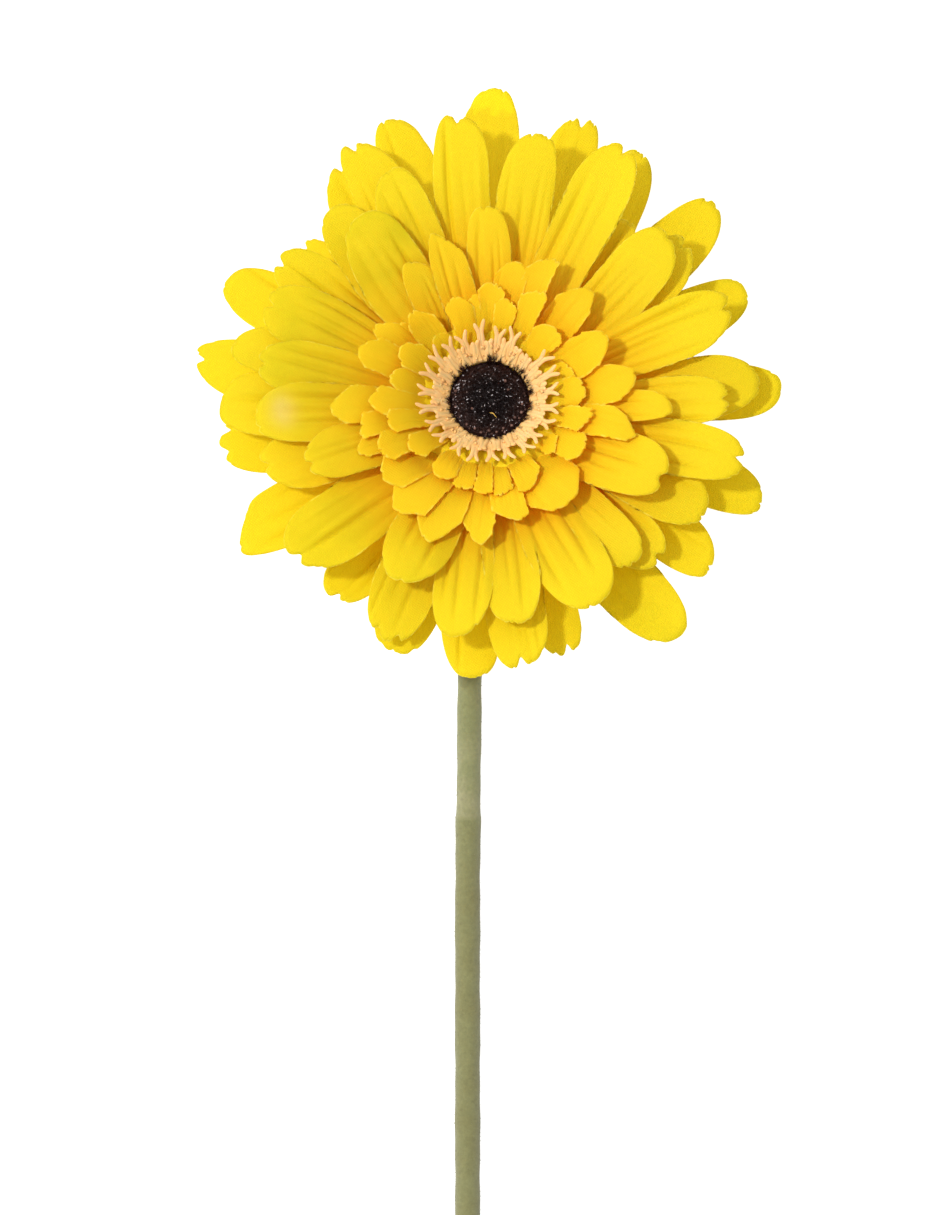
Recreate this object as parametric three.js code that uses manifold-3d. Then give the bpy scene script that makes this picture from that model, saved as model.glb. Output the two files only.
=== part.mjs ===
// A yellow gerbera with its stem, lying on a table with its face turned up.
// Millimetres, +Z up. The stem runs towards -Y; the table is the plane z = 0.
//
// Everything in the flower head is laid out in its own frame, in which x runs to the right, y up
// in the plane of the face, and c is the height over that plane. onTable() places it.

import * as THREE from 'three';
import { mergeVertices } from 'three/addons/utils/BufferGeometryUtils.js';
import Module from 'manifold-3d';

const wasm = await Module();
wasm.setup();

// ---- driving dimensions ------------------------------------------------------------------

const LEAN = THREE.MathUtils.degToRad(15);       // of the face, past the petals at the top
const HEAD_HEIGHT = 23;                          // of the middle of the face plane over the table

const DISC = { radius: 8, base: 7, rim: 7.7, top: 9.2 };
const DISC_GRAIN = 0.25;                         // height of the florets' relief
const DISC_PITCH = 1;                            // from one ring of florets to the next
const DISC_SPOKES = 10;                          // florets round each ring

const COLLAR_FORKS = 23;                         // places round the ring, in each of its two rows
const COLLAR_FIRST = 7.3;                        // bearing of the first place in degrees
const COLLAR_MISSING = 2;                        // the place in the outer row that has lost its fork
const COLLAR_RISE = 41;                          // of the forks from the face plane, in degrees
const COLLAR_THICKNESS = 0.7;
const OUTER_FORK = { radius: 9.4, height: 9.1, length: 7, width: 1.3, spread: 2.9 };
const INNER_FORK = { radius: 9.2, height: 9.3, length: 3.6, width: 1.5, spread: 2.8 };

const PETAL_THICKNESS = 0.6;
const PETAL_ROOT_RADIUS = 6.5;
const PETAL_ROOT_SHARE = 0.3;                    // width at the root as a share of the full width
const PETAL_LAP = 0.6;                           // every other petal lies this much higher, the rest lower
const PETAL_CUP = 0.3;                           // rise of the edges over the middle, at the tip
const PETAL_ROLL = 0.1;                          // how far a petal is turned on its length, at most

const BRACTS = 12;                               // in each of the two rows of the calyx
const BRACT_THICKNESS = 0.8;
const UPPER_BRACT = { radius: 9.2, height: -5.3, length: 8, width: 3.6, rise: 15 };
const LOWER_BRACT = { radius: 6.9, height: -10.2, length: 7, width: 3.2, rise: 40 };

const STEM_RADIUS = 2.5;
const STEM_SIDES = 12;
const STEM_LENGTH = 387;                         // from the middle of the disc to the cut end
const STEM_OFFSET = -4;                          // the stem lies this far to one side of the head
const STEM_SWAY = 60;                            // and comes to lie there this far from the head
const STEM_STEPS = 20;
const SOCKET = { radius: 2.9, roof: -11.6, mouth: -13.2 };
const FIT = 0.3;                                 // gap between pieces that touch

// ---- the petals ----------------------------------------------------------------------------
// Each whorl: height of the roots and of the tips over the face plane, how far the middle of the
// petals arches over the line between them, and where along the length they are widest.
// Each petal: bearing of its tip in degrees, clockwise from the top; how far the tip reaches from
// the middle of the disc as seen from straight above; its width; the number of lobes at its tip.

const WHORLS = [
  {
    root: -2.6, tip: -8, arch: 4, widest: 0.76, along: 3, across: 4,
    petals: [
      [0.8, 63.4, 12.4, 1], [18.5, 59.9, 11.2, 2], [32, 59, 11.5, 1], [50.2, 60, 12.2, 1],
      [66.7, 56.2, 12, 1], [88.3, 58.7, 12, 1], [110.6, 58.3, 11.5, 1], [126.9, 56, 11.6, 1],
      [142.5, 61.2, 13.2, 1], [163.6, 53.6, 10.4, 2], [184, 56.2, 11.8, 1], [201.2, 54.6, 13.4, 1],
      [218.2, 51, 11.5, 2], [240.4, 56.4, 12.6, 1], [260.2, 55, 13, 3], [276.8, 59.8, 12.4, 2],
      [295, 58, 13, 1], [308, 49.2, 11, 2], [326.4, 57, 11, 2], [340.8, 60, 12, 1],
    ],
  },
  {
    root: -0.8, tip: 5.5, arch: 3.5, widest: 0.76, along: 3, across: 4,
    petals: [
      [37, 45.8, 10, 1], [53, 51, 12, 2], [86, 54.4, 12.5, 1], [118.5, 48.8, 12, 1],
      [134.5, 47, 11.5, 2], [172.3, 54.4, 12.2, 2], [204, 52.6, 12.7, 3], [252.2, 47.4, 12.2, 2],
      [269.4, 54, 13.3, 1], [282.2, 52.6, 10.4, 1], [303.5, 51, 11.5, 2], [320, 49.8, 12, 1],
      [332.6, 59.2, 11.4, 2],
    ],
  },
  {
    root: 0.7, tip: 12, arch: 3, widest: 0.76, along: 3, across: 4,
    petals: [
      [9.8, 54.6, 11.2, 1], [28, 57.6, 12.5, 2], [48.5, 48.4, 12.5, 1], [69.5, 52, 12.5, 2],
      [90, 48, 10.5, 2], [104.6, 52.4, 11.5, 2], [138, 43.6, 9.8, 1], [153.6, 46.9, 14.4, 1],
      [173, 45.4, 11, 1], [187.5, 48.2, 11.7, 1], [230.8, 50.6, 14.5, 2], [280, 47, 11.8, 2],
      [294, 49, 13, 2], [335, 50.2, 11.2, 1], [353.7, 57.7, 11.2, 2],
    ],
  },
  {
    root: 2, tip: 15, arch: 2.5, widest: 0.7, along: 3, across: 4,
    petals: [
      [115.5, 38.6, 13, 2], [206, 41, 13, 1], [251, 39, 11, 2], [266, 47, 12.5, 1],
      [323.5, 45, 14.5, 1], [359.5, 39, 8.6, 1], [343.5, 33.8, 7.6, 1], [331, 31.4, 8, 1],
      [92.5, 36.4, 6.5, 1],
    ],
  },
  {
    root: 3.3, tip: 15.2, arch: 1, widest: 0.66, along: 2, across: 3,
    petals: [
      [11.5, 28, 7.4, 1], [24, 31, 6, 2], [41.5, 29.6, 7.6, 1], [63.5, 26.4, 8, 1],
      [81.5, 29.4, 8, 1], [104.5, 30.6, 7, 1], [143, 26.5, 12.4, 1], [169.5, 25, 6.8, 1],
      [183, 29.3, 7, 1], [204, 31.3, 7.5, 1], [219, 29.3, 8, 1], [232, 26.5, 7.2, 1],
      [249, 28.6, 4.8, 1], [255.5, 26.8, 6.2, 1], [267, 32.2, 7.2, 1], [291.5, 27.9, 6.7, 1],
      [302, 27.1, 7.2, 1], [317.3, 23.6, 6.4, 1],
    ],
  },
  {
    root: 4.4, rise: 0.65, arch: 0.6, widest: 0.66, along: 2, across: 3,
    petals: [
      [2, 23.6, 6, 1], [25, 23.7, 5.6, 1], [42, 19.2, 7, 1], [11, 20, 6, 1], [75, 18, 7, 1],
      [88, 19.2, 6, 1], [100, 20.4, 6, 1], [120, 22.2, 7, 1], [133, 18, 6, 1], [150, 20, 6, 1],
      [163, 20, 6, 1], [174, 19.4, 6, 1], [185, 19.4, 6, 1], [197, 19, 6, 1], [213, 18.8, 7, 1],
      [235, 19.4, 6.8, 1], [242, 24.6, 6.2, 1], [255, 21.2, 6, 1], [268, 24.2, 6.4, 1],
      [280, 20.8, 5.8, 1], [298, 20.9, 7.2, 1], [320.8, 16.8, 6.1, 1], [340, 21.4, 5.6, 1],
      [352, 21.2, 5.4, 1],
    ],
  },
];

// ---- from the head's own frame to the table --------------------------------------------------

const HEAD = new THREE.Matrix4()
  .makeRotationX(-LEAN)
  .setPosition(0, -DISC.top * Math.sin(LEAN), HEAD_HEIGHT);

const onTable = (x, y, c) => new THREE.Vector3(x, y, c).applyMatrix4(HEAD);

// ---- solids ----------------------------------------------------------------------------------

// A closed geometry as a solid, with its shared corners merged and its empty triangles left out.
function solid(geometry) {
  geometry.deleteAttribute('normal');
  geometry.deleteAttribute('uv');
  const merged = mergeVertices(geometry, 1e-4);
  const triangles = [];
  for (let i = 0; i < merged.index.count; i += 3) {
    const corners = [0, 1, 2].map((k) => merged.index.getX(i + k));
    if (new Set(corners).size === 3) triangles.push(...corners);
  }
  return new wasm.Manifold(new wasm.Mesh({
    numProp: 3,
    vertProperties: merged.attributes.position.array,
    triVerts: Uint32Array.from(triangles),
  }));
}

// Joins solids into one body. Scraps and sealed hollows between them are left out.
function join(solids) {
  const bodies = wasm.Manifold.union(solids).decompose();
  const largest = bodies.reduce((a, b) => (b.volume() > a.volume() ? b : a));
  const { vertProperties, triVerts } = largest.getMesh();
  const geometry = new THREE.BufferGeometry();
  geometry.setAttribute('position', new THREE.BufferAttribute(vertProperties, 3));
  geometry.setIndex(new THREE.BufferAttribute(triVerts, 1));
  return geometry;
}

function piece(name, geometry, color, roughness) {
  const material = new THREE.MeshStandardMaterial({ color, roughness, metalness: 0 });
  const mesh = new THREE.Mesh(geometry, material);
  mesh.name = name;
  return mesh;
}

// A body turned round the head's axis, from pairs of radius and height.
function turned(profile, sides) {
  const points = profile.map(([radius, height]) => new THREE.Vector2(radius, height));
  return new THREE.LatheGeometry(points, sides).rotateX(Math.PI / 2);
}

// A flat plate cut to an outline and set on the head: its root is at a bearing, a radius and a
// height, and it runs outwards from there and rises. The outline's x is across it, its y along it.
function plate(outline, thickness, bearing, radius, height, rise) {
  const shape = new THREE.Shape(outline.map(([x, y]) => new THREE.Vector2(x, y)));
  return new THREE.ExtrudeGeometry(shape, { depth: thickness, bevelEnabled: false })
    .translate(0, 0, -thickness / 2)
    .rotateX(THREE.MathUtils.degToRad(rise))
    .translate(0, radius, height)
    .rotateZ(-THREE.MathUtils.degToRad(bearing))
    .applyMatrix4(HEAD);
}

// ---- petals ----------------------------------------------------------------------------------

// How far a petal runs at v, as a share of its length: a blunt round tip, with one notch
// between two lobes or two notches between three.
function tipLine(v, widest, lobes) {
  const round = (1 - Math.min(Math.abs(v), 1) ** 2.4) ** (1 / 2.1);
  const notchAt = lobes === 3 ? 0.35 : 0;
  const notch = lobes === 1 ? 0 : 0.035 * Math.exp(-(((Math.abs(v) - notchAt) / 0.16) ** 2));
  return widest + (1 - widest) * round - notch;
}

// The middle surface of a petal: u runs from root to tip, v from edge to edge, -1 to 1.
function petalSurface(whorl, [bearing, reach, width, lobes], lap) {
  const angle = THREE.MathUtils.degToRad(bearing);
  const tipHeight = whorl.tip ?? whorl.root + whorl.rise * (reach - PETAL_ROOT_RADIUS);
  const tip = new THREE.Vector2(
    reach * Math.sin(angle),
    (reach * Math.cos(angle) - (tipHeight - DISC.top) * Math.sin(LEAN)) / Math.cos(LEAN),
  );
  const root = tip.clone().setLength(PETAL_ROOT_RADIUS);
  const axis = tip.clone().sub(root);
  const side = new THREE.Vector2(axis.y, -axis.x).normalize();
  const roll = PETAL_ROLL * Math.sin(7 * bearing);

  return (u, v) => {
    const q = u * tipLine(v, whorl.widest, lobes);
    const swell = Math.sin(Math.PI / 2 * Math.min(q / whorl.widest, 1));
    const across = v * width / 2 * (PETAL_ROOT_SHARE + (1 - PETAL_ROOT_SHARE) * swell);
    const line = whorl.root + (tipHeight - whorl.root) * q + 4 * whorl.arch * q * (1 - q);
    const height = line + lap + (PETAL_CUP * v * v + roll * across) * q;
    const place = root.clone().addScaledVector(axis, q).addScaledVector(side, across);
    const point = onTable(place.x, place.y, height);
    point.z = Math.max(point.z, PETAL_THICKNESS / 2);      // a tip that reaches the table lies on it
    return point;
  };
}

// A closed blade of even thickness round a surface, with both faces split into triangles alike.
// At the root only its two edges are kept, which the first row of faces fans out from.
function blade(surface, along, across, thickness) {
  const step = 0.02;                                       // in u and v, to find the slope
  const sheet = new THREE.PlaneGeometry(1, 1, across, along);
  const place = sheet.attributes.position;
  const count = place.count;
  const points = new Float32Array(6 * count);
  for (let i = 0; i < count; i++) {
    const u = 0.5 - place.getY(i);
    const x = -2 * place.getX(i);
    const s = u > 0 ? x : (x > 0 ? 1 : -1);
    const at = (du, ds) => surface(u + du, Math.sin(Math.PI / 2 * (s + ds)));
    const lengthwise = at(u < 0.5 ? step : 0, 0).sub(at(u < 0.5 ? 0 : -step, 0));
    const sideways = at(0, s < 0 ? step : 0).sub(at(0, s < 0 ? 0 : -step));
    const normal = sideways.cross(lengthwise).normalize();
    at(0, 0).addScaledVector(normal, thickness / 2).toArray(points, 3 * i);
    at(0, 0).addScaledVector(normal, -thickness / 2).toArray(points, 3 * (count + i));
  }

  const index = Array.from(sheet.index.array);
  for (let i = index.length - 3; i >= 0; i -= 3) {
    index.push(index[i] + count, index[i + 2] + count, index[i + 1] + count);
  }
  const rim = [];
  for (let i = 0; i < across; i++) rim.push(i);
  for (let i = 0; i < along; i++) rim.push(across + i * (across + 1));
  for (let i = 0; i < across; i++) rim.push(count - 1 - i);
  for (let i = 0; i < along; i++) rim.push(count - 1 - across - i * (across + 1));
  rim.forEach((a, i) => {
    const b = rim[(i + 1) % rim.length];
    index.push(a, b, a + count, b, b + count, a + count);
  });

  const geometry = new THREE.BufferGeometry();
  geometry.setAttribute('position', new THREE.BufferAttribute(points, 3));
  geometry.setIndex(index);
  return geometry;
}

// The receptacle, hidden in the bloom: it carries the petals, the disc and the collar.
function core() {
  const profile = [
    [0, -7.6], [6.8, -6.7], [9, -4.6], [9.6, -3], [9.6, 6], [9.2, 7.3], [8.4, 7.3],
    [8.3, DISC.base - FIT], [0, DISC.base - FIT],
  ];
  return solid(turned(profile, 20).applyMatrix4(HEAD));
}

function petals() {
  const blades = WHORLS.flatMap((whorl) => {
    const inOrder = whorl.petals.toSorted((a, b) => a[0] - b[0]);
    return inOrder.map((petal, i) => {
      const surface = petalSurface(whorl, petal, i % 2 ? PETAL_LAP : -PETAL_LAP);
      return solid(blade(surface, whorl.along, whorl.across, PETAL_THICKNESS));
    });
  });
  return piece('petals', join([core(), ...blades]), 0xfde01e, 0.75);
}

// ---- disc and collar -------------------------------------------------------------------------

// A low dome with the tips of its florets as relief, each between four hollows.
function disc() {
  const rings = Math.round(DISC.radius / DISC_PITCH);
  const dome = Array.from({ length: rings + 1 }, (_, i) => {
    const r = DISC.radius * (1 - i / rings);
    return [r, DISC.rim + (DISC.top - DISC.rim) * (1 - (r / DISC.radius) ** 2)];
  });
  const geometry = turned([[0, DISC.base], [DISC.radius, DISC.base], ...dome], 4 * DISC_SPOKES);
  const place = geometry.attributes.position;
  for (let i = 0; i < place.count; i++) {
    const [x, y, c] = [place.getX(i), place.getY(i), place.getZ(i)];
    const r = Math.hypot(x, y);
    const floret = Math.cos(DISC_SPOKES * Math.atan2(y, x)) * Math.cos(Math.PI * r * rings / DISC.radius);
    if (c > DISC.base + FIT && r > DISC_PITCH / 2) place.setZ(i, c + DISC_GRAIN * floret);
  }
  return piece('disc', join([solid(geometry.applyMatrix4(HEAD))]), 0x2b1c18, 0.9);
}

// The outline of a prong that forks in two at its end.
function forkOutline({ length, width, spread }) {
  const [w, s] = [width / 2, spread / 2];
  const split = length - 0.75 * spread;
  const half = [[w, 0], [w, split - 0.6], [s, length - 0.2], [s - 0.6, length], [0, split + 0.3]];
  const other = half.slice(0, -1).reverse().map(([x, y]) => [-x, y]);
  return [...half, ...other];
}

// A plastic ring round the disc, with an outer and an inner row of forked prongs.
function collar() {
  const profile = [[8.3, 7.9], [9.2, 7.9], [10.6, 9.5], [10, 10], [8.3, 8.6], [8.3, 7.9]];
  const ring = solid(turned(profile, COLLAR_FORKS).applyMatrix4(HEAD));
  const pitch = 360 / COLLAR_FORKS;
  const row = (fork, first, missing) => Array.from({ length: COLLAR_FORKS }, (_, i) => i)
    .filter((i) => i !== missing)
    .map((i) => solid(plate(
      forkOutline(fork), COLLAR_THICKNESS, first + i * pitch, fork.radius, fork.height, COLLAR_RISE,
    )));
  const outer = row(OUTER_FORK, COLLAR_FIRST, COLLAR_MISSING);
  const inner = row(INNER_FORK, COLLAR_FIRST + pitch / 2);
  return piece('collar', join([ring, ...outer, ...inner]), 0xf3c795, 0.6);
}

// ---- calyx and stem --------------------------------------------------------------------------

function bracts({ radius, height, length, width, rise }, first) {
  const w = width / 2;
  const outline = [[0.8 * w, 0], [w, 0.45 * length], [0, length], [-w, 0.45 * length], [-0.8 * w, 0]];
  return Array.from({ length: BRACTS }, (_, i) => solid(plate(
    outline, BRACT_THICKNESS, first + i * 360 / BRACTS, radius, height, rise,
  )));
}

// The green cup under the petals, with two rows of pointed bracts and a socket for the stem.
function calyx() {
  const profile = [
    [0, SOCKET.roof], [SOCKET.radius, SOCKET.roof], [SOCKET.radius, SOCKET.mouth], [3.9, SOCKET.mouth],
    [5.4, -12], [8.6, -8.8], [10.7, -5.2], [10.4, -4.7], [9.5, -4.7], [7.1, -7.05], [0, -7.95],
  ];
  const cup = solid(turned(profile, 2 * BRACTS).applyMatrix4(HEAD));
  const rows = [...bracts(UPPER_BRACT, 0), ...bracts(LOWER_BRACT, 180 / BRACTS)];
  return piece('calyx', join([cup, ...rows]), 0x7f8c4f, 0.8);
}

// A line through given points whose sections keep one side level, so that a stem with flat
// facets lies flat on the table.
class LevelLine extends THREE.Curve {
  constructor(points) {
    super();
    this.points = points;
  }

  getSpacedPoints() {
    return this.points.map((point) => point.clone());
  }

  computeFrenetFrames() {
    const last = this.points.length - 1;
    const up = new THREE.Vector3(0, 0, 1);
    const tangents = this.points.map((_, i) => new THREE.Vector3()
      .subVectors(this.points[Math.min(i + 1, last)], this.points[Math.max(i - 1, 0)])
      .normalize());
    const normals = tangents.map((t) => new THREE.Vector3().crossVectors(t, up).normalize());
    const binormals = tangents.map((t, i) => new THREE.Vector3().crossVectors(t, normals[i]));
    return { tangents, normals, binormals };
  }
}

// The stem leaves the calyx along the head's axis, bends down to the table and lies on it.
function stem() {
  const level = STEM_RADIUS;
  const top = onTable(0, 0, SOCKET.roof - FIT);
  const mouth = onTable(0, 0, SOCKET.mouth - FIT);
  const down = mouth.clone().sub(top).normalize();
  const corner = mouth.clone().addScaledVector(down, (level - mouth.z) / down.z);
  const lying = new THREE.Vector3(STEM_OFFSET, -STEM_SWAY, level);
  const cutEnd = new THREE.Vector3(STEM_OFFSET, -STEM_LENGTH, level);
  const landing = corner.clone().add(new THREE.Vector3(0, -corner.distanceTo(mouth), 0));
  const half = (lying.y - landing.y) / 2;
  const neck = new THREE.CurvePath();
  neck.add(new THREE.LineCurve3(top, mouth));
  neck.add(new THREE.QuadraticBezierCurve3(mouth, corner, landing));
  neck.add(new THREE.CubicBezierCurve3(
    landing,
    landing.clone().add(new THREE.Vector3(0, half, 0)),
    lying.clone().sub(new THREE.Vector3(0, half, 0)),
    lying,
  ));
  const line = new LevelLine([...neck.getSpacedPoints(STEM_STEPS), cutEnd]);
  const section = new THREE.Shape(Array.from({ length: STEM_SIDES }, (_, i) => {
    const angle = (i + 0.5) * 2 * Math.PI / STEM_SIDES;
    const corners = STEM_RADIUS / Math.cos(Math.PI / STEM_SIDES);
    return new THREE.Vector2(corners * Math.cos(angle), corners * Math.sin(angle));
  }));
  const tube = new THREE.ExtrudeGeometry(section, { steps: STEM_STEPS + 1, extrudePath: line });
  return piece('stem', join([solid(tube)]), 0x989a70, 0.95);
}

// ---- the flower ------------------------------------------------------------------------------
// Its origin is the middle of its own outline on the table.

const flower = new THREE.Group();
flower.add(petals(), disc(), collar(), calyx(), stem());
const box = new THREE.Box3().setFromObject(flower, true);
const middle = box.getCenter(new THREE.Vector3());
flower.position.set(-middle.x, -middle.y, -box.min.z);

export default flower;
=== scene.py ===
"""A cut gerbera in pressed cloth, lying on a table with its face turned up.

Sizes in the tables are in millimetres, and everything that is made is in metres. The flower
head is laid out in its own frame, in which x runs to the right, y up in the plane of the face,
and c is the height over that plane.
"""

import math

import bpy
import numpy as np
from bpy.props import FloatProperty, FloatVectorProperty, IntProperty, PointerProperty
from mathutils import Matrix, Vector


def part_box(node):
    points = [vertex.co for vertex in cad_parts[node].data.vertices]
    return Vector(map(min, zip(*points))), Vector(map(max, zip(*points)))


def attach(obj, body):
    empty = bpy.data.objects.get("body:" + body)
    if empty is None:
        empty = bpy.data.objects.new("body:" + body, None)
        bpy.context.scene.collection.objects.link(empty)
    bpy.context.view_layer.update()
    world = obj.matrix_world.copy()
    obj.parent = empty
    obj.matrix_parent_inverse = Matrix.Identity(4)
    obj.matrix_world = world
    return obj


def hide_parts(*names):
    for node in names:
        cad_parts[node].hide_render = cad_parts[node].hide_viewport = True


bl_info = {
    "name": "Cut Gerbera",
    "version": (1, 0, 0),
    "blender": (4, 5, 0),
    "location": "3D View > Sidebar > Gerbera",
    "description": "Makes a gerbera of pressed cloth petals on a flocked stem",
    "category": "Add Mesh",
}

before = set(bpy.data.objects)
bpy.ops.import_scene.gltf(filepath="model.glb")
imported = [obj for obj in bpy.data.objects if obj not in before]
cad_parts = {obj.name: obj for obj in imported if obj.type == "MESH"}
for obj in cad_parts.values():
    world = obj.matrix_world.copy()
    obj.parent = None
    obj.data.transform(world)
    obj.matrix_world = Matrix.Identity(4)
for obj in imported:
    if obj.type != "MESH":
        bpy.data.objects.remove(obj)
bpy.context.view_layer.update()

MM = 0.001
LEAN = math.radians(15)  # of the face, past the petals at the top
HEAD_HEIGHT = 23.0  # of the middle of the face plane over the table
DISC_RADIUS, DISC_BASE, DISC_RIM, DISC_TOP = 8.0, 7.0, 7.7, 9.2
STEM_LENGTH = 387.0  # from the middle of the disc to the cut end

PETAL_ROOT_RADIUS = 6.5
PETAL_ROOT_SHARE = 0.3  # width at the root as a share of the full width
PETAL_LAP = 0.6  # every other petal lies this much higher, the rest lower
PETAL_CUP = 0.3  # height of a blade's edges over its middle line, at the tip
PETAL_ROLL = 0.1  # slope from one side of a blade to the other
PETAL_WIDTH = 12  # folds, curls and ripples grow with a petal's width over this one
PETAL_SEED = 40
ARCH_PEAK = 9.48  # makes q^3 (1 - q) one where it is highest
FOLD_PLACES = (-0.6, -0.3, 0.0, 0.3, 0.6)  # across a blade, as shares of its half width
CLOTH_SHARE, WEB_SHARE = 0.48, 0.3  # of the light that goes through the cloth
WEB_INNER, WEB_OUTER = 9.3, 16.4
WEB_LENGTH = 13.5  # of the petals that the web joins

# Each whorl: root and tip are the heights of its petals' ends over the face plane; up is added to
# the tips at the bottom, and 0.6 of it at the sides; rise stands for tip, as height per millimetre
# out. arch is how far the petals arch over that line, widest where along them they are widest,
# broad their width at the root as a share of the full width, and a wedge widens evenly. curl,
# droop and lift are ranges for how far the edges turn up, the end hangs down and the blade rises;
# over is how high some petals lie, by bearing, and joined how far out a cut whorl hangs together.
# warm is where the root colour starts to fade, where it ends and its strength; that colour is
# partly a dyed root and partly painted orange shade for the deep gaps between petals. green is
# how far petals may lean to green at random, and the table after it adds, by bearing, painted
# shade: a darker greenish yellow on petals that face away from the light or lie in the shadow of
# others. One whorl gives the bearing of its petal with a pale cream patch near the tip. Each
# petal: bearing of its tip, clockwise from the top; how far the tip reaches as seen from above;
# its width; the number of lobes at its tip; and where they are given, how square the tip is, from
# 0 to 1, and how much further its clockwise side runs, as a share of the length. Each cut petal
# of the two inner whorls: its bearing, its width, and how far its end runs at five places across
# it, clockwise.
STRAP = dict(rows=33, cols=57, curl=(-0.9, 0.3))
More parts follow.
